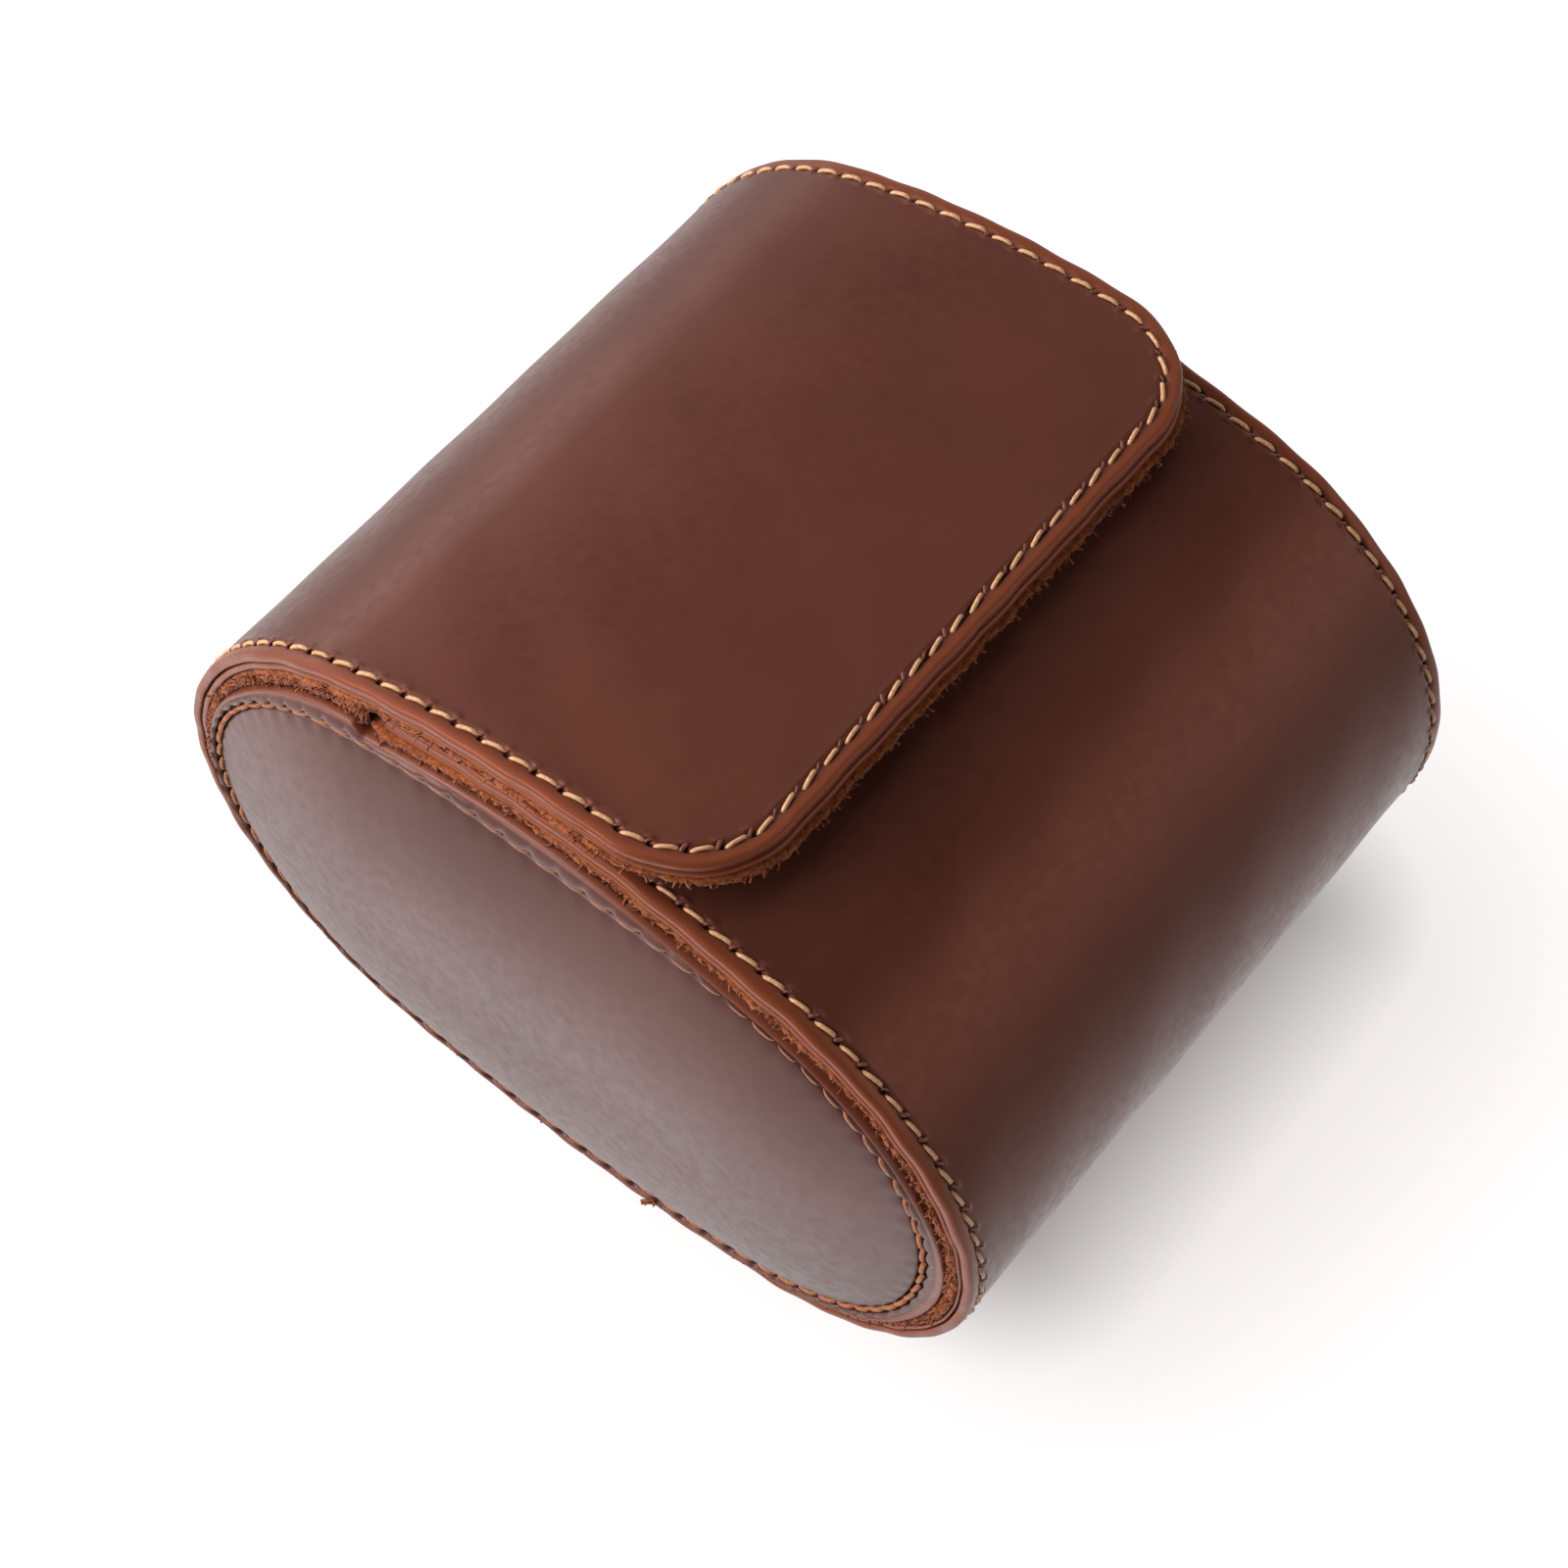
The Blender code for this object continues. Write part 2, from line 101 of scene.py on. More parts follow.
def section(run, inset=0.0):
    """Place (front, up) and outward direction (front, up) on the oval, at a run and an inset."""
    part, rest = np.divmod(np.asarray(run, float) % LENGTH, QUARTER)
    rest = np.where(part % 2 == 1, QUARTER - rest, rest)
    broad = rest <= BROAD * LEAN
    angle = np.where(broad, rest / BROAD, LEAN + (rest - BROAD * LEAN) / END)
    radius = np.where(broad, BROAD, END) - inset
    front = np.where(broad, 0, OFFSET) + radius * np.sin(angle)
    up = np.where(broad, HALF_HEIGHT - BROAD, 0) + radius * np.cos(angle)
    side = np.where(part < 2, 1, -1)
    rise = np.where((part == 0) | (part == 3), 1, -1)
    return side * front, rise * up, side * np.sin(angle), rise * np.cos(angle)


print("oval length %.1f mm" % (LENGTH / MM))

# %% [markdown]
# The strip stands off that oval where its free ends overlap: the front panel bulges a little, and the
# flap climbs over it. On the real roll the flap's far corner droops, which the lift takes in too.

# %% How the strip stands off the oval
FLAP_REACH, FLAP_CORNER, FLAP_RISE_RUN = 20.5 * MM, 13.0 * MM, 34.0 * MM
FLAP_STEP, FLAP_TIP_LIFT, FLAP_DROOP = 3.6 * MM, 7.3 * MM, 1.0 * MM
FRONT_TUCK, FRONT_CORNER, FRONT_BULGE = 29.0 * MM, 7.0 * MM, 1.5 * MM
BULGE_BACK, BULGE_FRONT = 27.0 * MM, 32.0 * MM
FAR_BULGE, FAR_BULGE_AT, FAR_BULGE_REACH = 0.5 * MM, 27.0 * MM, 24.0 * MM
CLIMB_SLOPE, TIP_SLOPE = 0.13, 0.05
CAP_DENT, CAP_DENT_AT, CAP_DENT_REACH = 1.0 * MM, 3.0 * MM, 24.0 * MM
FLAP_END = LENGTH + FLAP_REACH


def bump(distance, reach):
    """Falls smoothly from 1 at no distance to 0 at the reach."""
    return np.cos(np.minimum(1, np.abs(distance) / reach) * math.pi / 2) ** 2


def hump(distance, width):
    """A bell: 1 at no distance and a third of that at the width."""
    return np.exp(-(distance / width) ** 2)


def curve(share, length, low, high, low_slope, high_slope):
    """A smooth curve over a length, from its heights and slopes at both ends."""
    share = np.clip(share, 0, 1)
    toward = share * share * (3 - 2 * share)
    bend = low_slope * share * (1 - share) ** 2 + high_slope * share * share * (share - 1)
    return low + (high - low) * toward + length * bend


def ease(share):
    """A smooth step from 0 to 1."""
    return curve(share, 1, 0, 1, 0, 0)


def flap_share(run):
    """Where a run is between the tip of the tucked front panel, 0, and the tip of the flap, 1."""
    return (run - LENGTH + FRONT_TUCK) / (FLAP_REACH + FRONT_TUCK)


def far_share(across):
    """0 at the roll's left side, near the camera, and 1 at its right side."""
    return np.clip(across / ROLL_WIDTH + 0.5, 0, 1)


def flap_lift(run, across):
    """How far the flap stands off the oval: it climbs to the tucked tip, then on to its own."""
    share, over = flap_share(run), FLAP_REACH + FRONT_TUCK
    tip = curve(share, over, FLAP_STEP, FLAP_TIP_LIFT, CLIMB_SLOPE, TIP_SLOPE)
    rise = curve(1 + share * over / FLAP_RISE_RUN, FLAP_RISE_RUN, 0, FLAP_STEP, 0, CLIMB_SLOPE)
    droop = FLAP_DROOP * far_share(across) * ease((share + 0.3) / 1.3)
    return np.where(share > 0, tip, rise) - droop


def front_lift(run, across):
    """How far the front panel bulges off the oval."""
    bulge = FRONT_BULGE * bump(run, np.where(run > 0, BULGE_FRONT, BULGE_BACK))
    return bulge + FAR_BULGE * far_share(across) ** 2 * bump(run - FAR_BULGE_AT, FAR_BULGE_REACH)


def past_top(run):
    """A run counted from the top, negative towards the back."""
    return np.where(run < LENGTH / 2, run, run - LENGTH)


def cap_dent(run):
    """How far the caps' seam gives way near the top, where the strip is double."""
    return CAP_DENT * bump(past_top(run) - CAP_DENT_AT, CAP_DENT_REACH)


TUCKED_TIP, CAP_HUG = -FRONT_TUCK - 0.5 * MM, 0.85
CAP_RISE, CAP_RISE_REACH, RISE_PAST_TIP, RISE_ENDS_OVER = 1.6 * MM, 24 * MM, 2.4 * MM, 1.4 * MM
FULL_PLIES, FULL_PLIES_AT = 0.5 * MM, 26 * MM


def full_plies(run):
    """How much thicker the plies are before the front end, where the flap has never pressed them."""
    return FULL_PLIES * bump(run - FULL_PLIES_AT, FULL_PLIES_AT)


def cap_rise(run, across):
    """How far the caps' outer wall stands up to meet the strip over it."""
    past = past_top(run)
    behind = CAP_RISE * bump(past - TUCKED_TIP, CAP_RISE_REACH)
    ahead = CAP_HUG * front_lift(past, across) - full_plies(past)
    step = ease((past - TUCKED_TIP - RISE_PAST_TIP) / RISE_ENDS_OVER)
    return behind * (1 - step) + ahead * step


def wander(place, size, seed):
    """A slow, repeatable wobble, from three waves that never line up."""
    waves = ((0.9, 7.3), (0.6, 12.1), (0.4, 29.0))
    return size * sum(a * np.sin(place / (w * MM) * 2 * math.pi + seed * (n + 1.7))
                      for n, (a, w) in enumerate(waves))


print("flap lift at its tip %.1f mm" % (flap_lift(np.array(FLAP_END), np.array(-HALF)) / MM))

# %% [markdown]
# Each ply of the strip is one mesh: rows run along the strip, a fine band of columns follows the edge
# round the corners, and plain columns fill the middle. A table of insets and depths gives the section
# of the edge, as a leather worker's edge tool would. The tables are in millimetres.

# %% Meshes of the plies
def to_mesh(name, points, faces, material):
    """One object at the origin from points and faces, which point outwards."""
    mesh = bpy.data.meshes.new(name)
    mesh.from_pydata(np.asarray(points).tolist(), [], [list(map(int, face)) for face in faces])
    mesh.validate()
    mesh.shade_smooth()
    mesh.materials.append(material)
    print(name, len(mesh.polygons), "faces")
    return put(name, mesh)


def set_values(made, name, values):
    """Stores one number for each point, for the material to read."""
    made.data.attributes.new(name, "FLOAT", "POINT").data.foreach_set("value", values.astype(np.float32))


PITCH, STITCH_INSET = 3.5 * MM, 2.0 * MM
CRUMBLE_REACH, OUTER_LEVEL = 0.6 * MM, 0.6
TIP_FADE_FROM, TIP_FADE_OVER, SIDE_FADE_OVER, CORNER_SHARE = 2 * MM, 9 * MM, 16 * MM, 0.35


class Strip:
    """One half of the wrap, from the middle of the floor to one of its free ends."""

    def __init__(self, tip, corner, lift, seed):
        """Takes the run of its tip, the radius of its corners, its lift off the oval and a seed."""
        self.cut, self.tip, self.corner, self.lift, self.seed = LENGTH / 2, tip, corner, lift, seed
        self.toward = 1 if tip > self.cut else -1
        self.turn = tip - self.toward * corner
        self.flat, self.arc = HALF - corner, (corner - STITCH_INSET) * math.pi / 2
        self.straight = abs(self.turn - self.cut)
        self.whole = self.flat + self.arc + self.straight

    def rows(self, gap):
        """Rows along the strip up to its tip, as paths along its edge from the tip's middle."""
        count = max(6, int(self.arc / gap))
        return np.concatenate([self.whole - np.arange(0, self.straight, gap),
                               self.flat + self.arc * (1 - np.arange(count + 1) / count)])

    def tipness(self, path):
        """1 along the tip, a third of that round the corners, falling to 0 along the sides."""
        past = path - self.flat
        straight = ease(1 - (past - TIP_FADE_FROM) / TIP_FADE_OVER)
        side = ease(1 - (past - self.corner * math.pi / 2) / SIDE_FADE_OVER)
        return (1 - CORNER_SHARE) * straight + CORNER_SHARE * side

    def place(self, run, across, depth):
        """World points from runs, places across and depths under the face."""
        front, up, out_front, out_up = section(run)
        off = self.lift(run, across) - depth
        return np.stack([across, -(front + out_front * off), CENTRE_UP + up + out_up * off], -1)

    def walk(self, path, side, inset):
        """(run, across) of points at an inset, by their path along the edge from the tip's middle."""
        reach, past = self.corner - inset, path - self.flat
        angle = np.clip((1 - past / self.arc) * math.pi / 2, 0, math.pi / 2)
        run = np.where(past < 0, self.tip - self.toward * inset,
                       np.where(past < self.arc, self.turn + self.toward * reach * np.sin(angle),
                                self.turn - self.toward * (past - self.arc)))
        across = np.where(past < 0, path, np.where(past < self.arc, self.flat + reach * np.cos(angle),
                                                   HALF - inset))
        return run, side * across


def ply(name, strip, profile, material, gap, columns, relief=None, edge_wander=0.0, overhang=0.0,
        crumble=0.0, fade=5 * MM):
    """A solid ply. The profile is a list of (inset, depth) from the inner face round to the outer.

    The overhang is how far the ply's tip shows past the face leather, and crumble how torn its edge is.
    """
    insets = np.array([inset for inset, depth in profile]) * MM
    count, last = len(profile), len(profile) - 1
    rows = strip.rows(gap)
    chance = np.random.default_rng(int(strip.seed * 10))
    found, index, faces = [], {}, []

    def keep(key, *values):
        """Keeps a point: its run, its place across, its path, its inset and its step of the profile."""
        index[key] = len(found)
        found.append(values)

    def worn(k, at_path):
        """How far inwards wear moves a point of the edge, less the overhang."""
        waver = wander(at_path, edge_wander, strip.seed) - overhang * strip.tipness(at_path)
        moved = waver * max(0, 1 - insets[k] / fade)
        if insets[k] < CRUMBLE_REACH:
            moved += crumble * chance.uniform(-1, 1) + 0.6 * wander(at_path * 5.0, crumble, k * 0.05)
        return moved

    def line(i, k):
        """A row of points from side to side, at one step of the profile."""
        return [index[i, -1, k]] + [index[i, "mid", k, j] for j in range(len(shares))] + [index[i, 1, k]]

    def bridge(here, there, as_is):
        """Quads between two lines of points, turned round where they would face inwards."""
        for j in range(len(here) - 1):
            quad = [here[j], here[j + 1], there[j + 1], there[j]]
            faces.append(quad if as_is else quad[::-1])

    shares = np.linspace(-1, 1, columns + 1)[1:-1]
    end = len(rows) - 1
    for i, row in enumerate(rows):
        for side in (-1, 1):
            for k in range(count):
                keep((i, side, k), *strip.walk(row, side, insets[k] + worn(k, row)), row, insets[k], k)
        for k in range(count) if i == end else (0, last):
            at_run, at_across = strip.walk(row, 1, insets[k])
            for j, share in enumerate(shares):
                at_path = abs(share * at_across)
                moved = worn(k, at_path) if i == end else 0.0
                keep((i, "mid", k, j), at_run - strip.toward * moved, share * at_across, at_path,
                     insets[k], k)
    run, across, path, inset, step = np.array(found).T
    step = step.astype(int)

    for i in range(end):
        for side in (-1, 1):
            here, there = ([index[at, side, k] for k in range(count)] for at in (i, i + 1))
            bridge(here, there, side == strip.toward)
        for k in (0, last):
            bridge(line(i, k), line(i + 1, k), (k == 0) == (strip.toward == 1))
    for k in range(last):
        bridge(line(end, k), line(end, k + 1), strip.toward == 1)
    border = line(0, 0) + [index[0, 1, k] for k in range(1, count)]
    border += line(0, last)[::-1][1:] + [index[0, -1, k] for k in range(last - 1, 0, -1)]
    faces.append(border if strip.toward == -1 else border[::-1])

    depth = np.zeros(len(run))
    for k, (at_inset, level) in enumerate(profile):
        chosen = step == k
        depth[chosen] = level(run[chosen]) if callable(level) else level * MM
    outer = np.array([callable(level) or level < OUTER_LEVEL for at_inset, level in profile])[step]
    if relief:
        depth = depth - np.where(outer, relief(path, inset, run, across), 0)
    made = to_mesh(name, strip.place(run, across, depth), faces, material)
    return made, path, inset, outer


flap_strip = Strip(FLAP_END, FLAP_CORNER, flap_lift, 1.0)
front_strip = Strip(-FRONT_TUCK, FRONT_CORNER, front_lift, 2.3)

# %% [markdown]
# Colours are written as sRGB hex, as a colour picker shows them, and one function makes them linear.
# One more function adds a node: a value is set and a socket is linked. Everything below uses only these.

# %% Helpers for materials
def color(text):
    """sRGB hex to linear red, green and blue."""
    parts = [int(text[i:i + 2], 16) / 255 for i in (1, 3, 5)]
    return [p / 12.92 if p <= 0.04045 else ((p + 0.055) / 1.055) ** 2.4 for p in parts]


MATH, VECTOR_MATH, RANGE = "ShaderNodeMath", "ShaderNodeVectorMath", "ShaderNodeMapRange"
NOISE, MIX, BUMP, STORED = "ShaderNodeTexNoise", "ShaderNodeMix", "ShaderNodeBump", "ShaderNodeAttribute"
SPLIT, COMBINE = "ShaderNodeSeparateXYZ", "ShaderNodeCombineXYZ"


def adder(tree):
    """Returns the one function that adds nodes to a tree."""

    def add(kind, *values, out=None, **named):
        """Adds a node and returns one of its outputs: the first in use, unless one is named.

        The values go to the inputs in use, in order, and None skips one. A named value goes to the
        property of that name, or else to the input, with _ for a space. A socket is linked, a hex colour
        is made linear, and anything else is set as it is.
        """
        made = tree.nodes.new(kind)
        for key in [key for key in named if hasattr(made, key)]:
            setattr(made, key, named.pop(key))
        pairs = list(zip([socket for socket in made.inputs if socket.enabled], values))
        pairs += [(made.inputs[key.replace("_", " ")], value) for key, value in named.items()]
        for socket, value in pairs:
            if isinstance(value, bpy.types.NodeSocket):
                tree.links.new(value, socket)
            elif value is not None:
                socket.default_value = (*color(value), 1) if str(value).startswith("#") else value
        in_use = [socket for socket in made.outputs if socket.enabled]
        return made.outputs[out] if out else in_use[0] if in_use else None

    return add


def finish(name, roughness, **constants):
    """A new material, its shader, the function that adds its nodes, and the object coordinates."""
    made = bpy.data.materials.new(name)
    made.use_nodes = True
    shader = made.node_tree.nodes["Principled BSDF"]
    for key, value in (("Roughness", roughness), *constants.items()):
        shader.inputs[key.replace("_", " ")].default_value = value
    add = adder(made.node_tree)
    return made, shader, add, add("ShaderNodeTexCoord", out="Object")


def join(made, shader, **sources):
    """Links sockets to the shader's inputs, by their names."""
    for key, source in sources.items():
        made.node_tree.links.new(source, shader.inputs[key.replace("_", " ")])


def cells_per_metre(size_mm):
    """Texture scale for a pattern of a real size."""
    return 1000 / size_mm

# %% [markdown]
# Waxed cowhide: a smooth-milled, drum-dyed face with wax pulled into it. To the eye it is a dark red
# brown with soft clouds, a satin gloss, and a pore grain under half a millimetre, drawn here a
# little coarser than life so that it shows. Pressed and handled edges go lighter and more orange,
# and part of that lighter edge is a painted highlight. Needle holes get painted shade. The caps get
# a copy with a greyer base, a painted reflection of the pale floor.

# %% Waxed leather
# Colour of the painted shade in needle holes and in the gaps between the caps' stitches.
NEEDLE_HOLE_SHADE = "#160804"
CLOUDS, MOTTLE, PORES, GRAIN = (cells_per_metre(size_mm) for size_mm in (22, 1.4, 0.75, 0.5))


def leather(name, deep, light, edge, roughness, grain_strength, gloss="#FF997E"):
    """Two browns in clouds, with lighter edges, partly burnish and partly a painted highlight, and painted
    shade in the needle holes, over a pore grain.
    """
    made, shader, add, place = finish(name, roughness, IOR=1.5, Specular_IOR_Level=0.5,
                                      Specular_Tint=(*color(gloss), 1))
    clouds, mottle = add(NOISE, place, CLOUDS, 4.0), add(NOISE, place, MOTTLE, 3.0)
    base = deep
    for tone, amount in ((light, add(RANGE, clouds, 0.35, 0.65)),
                         (deep, add(RANGE, mottle, 0.30, 0.75, 0.0, 0.28)),
                         # The edge tone: burnished wear, and partly a painted highlight on the rounded
                         # edges.
                         (edge, add(STORED, attribute_name="burnish_and_painted_highlight", out="Fac")),
                         # Painted shade in the needle holes and in the gaps between the caps' stitches.
                         (NEEDLE_HOLE_SHADE, add(STORED, attribute_name="hole", out="Fac"))):
        base = add(MIX, amount, base, tone, data_type="RGBA")
    pores = add("ShaderNodeTexVoronoi", place, PORES, feature="SMOOTH_F1")
    grain = add(MATH, pores, add(NOISE, place, GRAIN, 2.0), operation="ADD")
    fine = add(BUMP, Strength=grain_strength, Distance=0.12 * MM, Height=grain)
    wave = add(BUMP, Strength=0.06, Distance=0.6 * MM, Height=clouds, Normal=fine)
    rough = add(RANGE, mottle, 0.3, 0.7, roughness - 0.05, roughness + 0.06)
    join(made, shader, Base_Color=base, Normal=wave, Roughness=rough)
    return made


waxed = leather("waxed_cowhide", "#502B22", "#593228", "#7B3E26", 0.34, 0.05)
# The caps' copy of the cowhide has a greyer, more mauve base, a painted reflection of the pale floor.
cap_hide_with_painted_reflection = leather("waxed_cowhide_with_painted_reflection_on_the_caps", "#4A2D29", "#53342F", "#743D2A", 0.36, 0.02, "#FFD0C8")
ply_edge = leather("burnished_second_ply", "#5E3020", "#6E3824", "#7A4028", 0.34, 0.05)

# %% [markdown]
# Split suede: the flesh side of the hide, with a nap of torn fibres. It is matt orange brown, with painted
# shade in the hollows between the fibres, and its sheen is the light that the nap catches at a low angle.

# %% Suede, thread and the rest
NAP, TUFTS = cells_per_metre(0.4), cells_per_metre(0.75)


def suede(name, deep, light, hollow_shade):
    """The painted shade of the hollows shows fully where the mesh is marked torn, and about half elsewhere.
    """
    made, shader, add, place = finish(name, 0.95, Sheen_Weight=0.25, Sheen_Roughness=0.5,
                                      Specular_IOR_Level=0.15)
    nap, tufts = add(NOISE, place, NAP, 4.0, 0.65), add(NOISE, place, TUFTS, 2.0)
    torn = add(STORED, attribute_name="torn", out="Fac")
    # Painted shade in the hollows between the fibres.
    dark = add(MATH, add(RANGE, tufts, 0.52, 0.36, 0.0, 0.65), add(RANGE, torn, 0.0, 1.0, 0.45, 1.0),
               operation="MULTIPLY")
    base = add(MIX, add(RANGE, nap, 0.38, 0.62), deep, light, data_type="RGBA")
    base = add(MIX, dark, base, hollow_shade, data_type="RGBA")
    relief = add(BUMP, Strength=0.6, Distance=0.3 * MM, Height=nap)
    join(made, shader, Base_Color=base, Normal=relief)
    return made


def plain(name, low, high, size_mm, roughness, depth=0.1 * MM, **constants):
    """A finish of two close colours in small clouds, with a matching bump."""
    made, shader, add, place = finish(name, roughness, **constants)
    clouds = add(NOISE, place, cells_per_metre(size_mm), 4.0)
    base = add(MIX, add(RANGE, clouds, 0.35, 0.65), low, high, data_type="RGBA")
    relief = add(BUMP, Strength=0.5, Distance=depth, Height=clouds)
    join(made, shader, Base_Color=base, Normal=relief)
    return made


split_suede = suede("split_suede", "#823E1A", "#B45E2B", "#4A210E")
cushion_suede = suede("cushion_pigskin_suede", "#8A4A26", "#A9622F", "#6E3517")
gold_thread = plain("waxed_linen_thread_gold", "#C48A5C", "#E4B184", 0.35, 0.42, 0.08 * MM)
dark_thread = plain("waxed_linen_thread_brown", "#8A4A28", "#B06A3C", 0.35, 0.5, 0.08 * MM)
loop_thread = plain("waxed_linen_thread_red_brown", "#5E2C1C", "#7C3C24", 0.35, 0.5, 0.08 * MM)
foam = plain("open_cell_foam", "#D8D2C4", "#EAE5DA", 1.2, 0.95, 0.4 * MM, Specular_IOR_Level=0.1)
greyboard = plain("pressed_greyboard", "#8C8478", "#A39B8E", 1.6, 0.9)
nickel = plain("nickel_plated_magnet", "#B9B9BC", "#CFCFD2", 3.0, 0.28, 0.02 * MM, Metallic=1.0)
print(len(bpy.data.materials), "materials")

# %% [markdown]
# The face leather is skived and rolled at its edge, with a line of stitches 2 mm in. Each needle hole is
# a slanted dimple, and the awl pushes up a small curl of leather on the inner side of each hole.

# %% Face leather
LEATHER_EDGE = [(5.0, 1.25), (2.0, 1.25), (0.40, 1.25), (0.15, 1.20), (0.03, 1.08), (0.0, 0.9), (0.0, 0.62),
                (0.04, 0.40), (0.14, 0.20), (0.32, 0.06), (0.55, 0.0), (0.8, -0.02), (1.1, -0.01)]
LEATHER_EDGE += [(inset, 0.0) for inset in (1.35, 1.55, 1.7, 1.85, 2.0, 2.15, 2.3, 2.5, 2.7, 2.9, 3.1, 3.35,
                                            3.7, 4.2, 5.0)]
SEAM_DEPTH, SEAM_WIDTH = 0.16 * MM, 0.45 * MM
HOLE_DEPTH, HOLE_LENGTH, HOLE_WIDTH, HOLE_SLANT = 0.55 * MM, 0.42 * MM, 0.30 * MM, 0.35
CURL_HEIGHT, CURL_LENGTH, CURL_WIDTH = 0.26 * MM, 0.50 * MM, 0.30 * MM
CURL_AHEAD, CURL_INWARD = 0.10 * MM, 0.62 * MM


def past_hole(path):
    """Signed distance along the seam from the nearest needle hole."""
    return (path + PITCH / 2) % PITCH - PITCH / 2


def holes(path, inset):
    """How deep each point lies in a needle hole, from 0 to 1."""
    along = past_hole(path)
    return hump(along, HOLE_LENGTH) * hump(inset - STITCH_INSET - HOLE_SLANT * along, HOLE_WIDTH)


def face_relief(path, inset, run, across):
    """The seam's furrow, its needle holes and curls, and a slow swell in the middle of the panel."""
    curls = hump(past_hole(path) - CURL_AHEAD, CURL_LENGTH)
    curls = curls * hump(inset - STITCH_INSET - CURL_INWARD, CURL_WIDTH)
    middle = np.clip((inset - 3 * MM) / (2 * MM), 0, 1)
    swell = wander(run * 0.31 + across * 0.43, 0.05 * MM, 0.4) * middle
    furrow = SEAM_DEPTH * hump(inset - STITCH_INSET, SEAM_WIDTH)
    return CURL_HEIGHT * curls - furrow - HOLE_DEPTH * holes(path, inset) + swell


def face_leather(name, strip, overhang):
    """The face, with rows close enough for its needle holes."""
    made, path, inset, outer = ply(name, strip, LEATHER_EDGE, waxed, gap=0.35 * MM, columns=28,
                                   relief=face_relief, edge_wander=0.07 * MM, overhang=overhang,
                                   fade=1.8 * MM)
    # Painted shade in the needle holes.
    set_values(made, "hole", np.where(outer, np.clip(1.6 * holes(path, inset), 0, 1), 0))
    # A lighter margin towards the edge: burnished wear, and partly a painted highlight.
    set_values(made, "burnish_and_painted_highlight", 0.85 * ease((2.1 * MM - inset) / (1.2 * MM)))
    return made


flap_leather = face_leather("flap_cover", flap_strip, 0.0)
front_leather = face_leather("front_cover", front_strip, -1.0 * MM)

# %% [markdown]
# Under the face lies a second, thinner ply. A groove shows between their rounded edges, and under
# it comes the suede, cut raw and fuller where the strip stands free.

# %% Second ply and suede lining
SECOND_TOP, SUEDE_TOP, SUEDE_FLOOR, PLY_GAP = 1.38 * MM, 2.36 * MM, 3.38 * MM, 0.08 * MM
THINNED, THINNED_REACH = 0.5 * MM, 32 * MM
SIDE_REACH, TIP_FULLNESS, TIP_FULL_OVER, FLAT_SPARE = 4.0 * MM, 0.85, 1.0 * MM, 0.2 * MM
FLAP_OVERHANG, FRONT_OVERHANG = 1.15 * MM, 0.3 * MM


def lining_top(run):
    """Depth at which the suede starts: less at the front end, where the second ply is thin."""
    return SUEDE_TOP - THINNED * bump(run - FRONT_END, THINNED_REACH) + full_plies(run)


def second(share):
    """A level inside the second ply, as a share of its thickness."""
    return lambda run: SECOND_TOP + (lining_top(run) - PLY_GAP - SECOND_TOP) * share


def floor_of(run, edge):
    """Depth of the suede's inner face.

    An edge of 1 is the raw edge, which fluffs up wherever the strip stands off what lies under it, also
    a little past the tucked tip, whose corners are round. An edge of 0 is the plain middle.
    """
    near = np.array(-HALF)
    ahead = TUCKED_TIP + SIDE_REACH + LENGTH - run
    filled = flap_lift(run, near) - np.maximum(0, cap_rise(run, near))
    filled = filled * (TIP_FULLNESS + (1 - TIP_FULLNESS) * ease(ahead / TIP_FULL_OVER))
    on_flap = np.where(ahead > 0, filled * edge, -FLAT_SPARE * ease(flap_share(run)))
    on_front = (1 - CAP_HUG) * front_lift(run, near) + full_plies(run)
    return SUEDE_FLOOR + np.where(run > LENGTH / 2, on_flap, on_front)


def between(share, edge=1.0):
    """A level inside the suede, as a share of its thickness."""
    return lambda run: lining_top(run) + (floor_of(run, edge) - lining_top(run)) * share


SECOND_EDGE = [(inset, second(share)) for inset, share in
               ((5.0, 1.0), (0.42, 1.0), (0.18, 0.93), (0.07, 0.78), (0.05, 0.52), (0.10, 0.27),
                (0.24, 0.08), (0.46, 0.0), (5.0, 0.0))]
LINING_EDGE = [(5.0, between(1.0, 0.0)), (1.15, between(1.0, 0.0))]
LINING_EDGE += [(inset, between(share)) for inset, share in
                ((0.75, 1.0), (0.30, 0.98), (0.10, 0.86), (0.04, 0.66), (0.06, 0.46), (0.03, 0.28),
                 (0.10, 0.1), (0.30, 0.02), (5.0, 0.0))]


def second_ply(name, strip, overhang):
    """The thinner leather under the face, burnished at its edge, whose lighter colour there is partly a
    painted highlight.
    """
    made, path, inset, outer = ply(name, strip, SECOND_EDGE, ply_edge, gap=0.8 * MM, columns=28,
                                   edge_wander=0.07 * MM, overhang=overhang)
    # Lighter towards the edge: burnish, and partly a painted highlight.
    set_values(made, "burnish_and_painted_highlight", np.clip(1 - inset / (2 * MM), 0, 1))
    return made


def lining(name, strip, overhang):
    """The suede, whose raw edge crumbles."""
    made, path, inset, outer = ply(name, strip, LINING_EDGE, split_suede, gap=0.45 * MM, columns=80,
                                   edge_wander=0.10 * MM, overhang=overhang, crumble=0.17 * MM)
    # The torn mark sets where the painted hollow shade is strongest.
    set_values(made, "torn", ease((3.0 * MM - inset) / (2.0 * MM)))
    return made


flap_second = second_ply("flap_second_ply", flap_strip, 0.50 * MM)
front_second = second_ply("front_second_ply", front_strip, -0.9 * MM)
flap_lining = lining("flap_suede", flap_strip, FLAP_OVERHANG)
front_lining = lining("front_suede", front_strip, FRONT_OVERHANG)

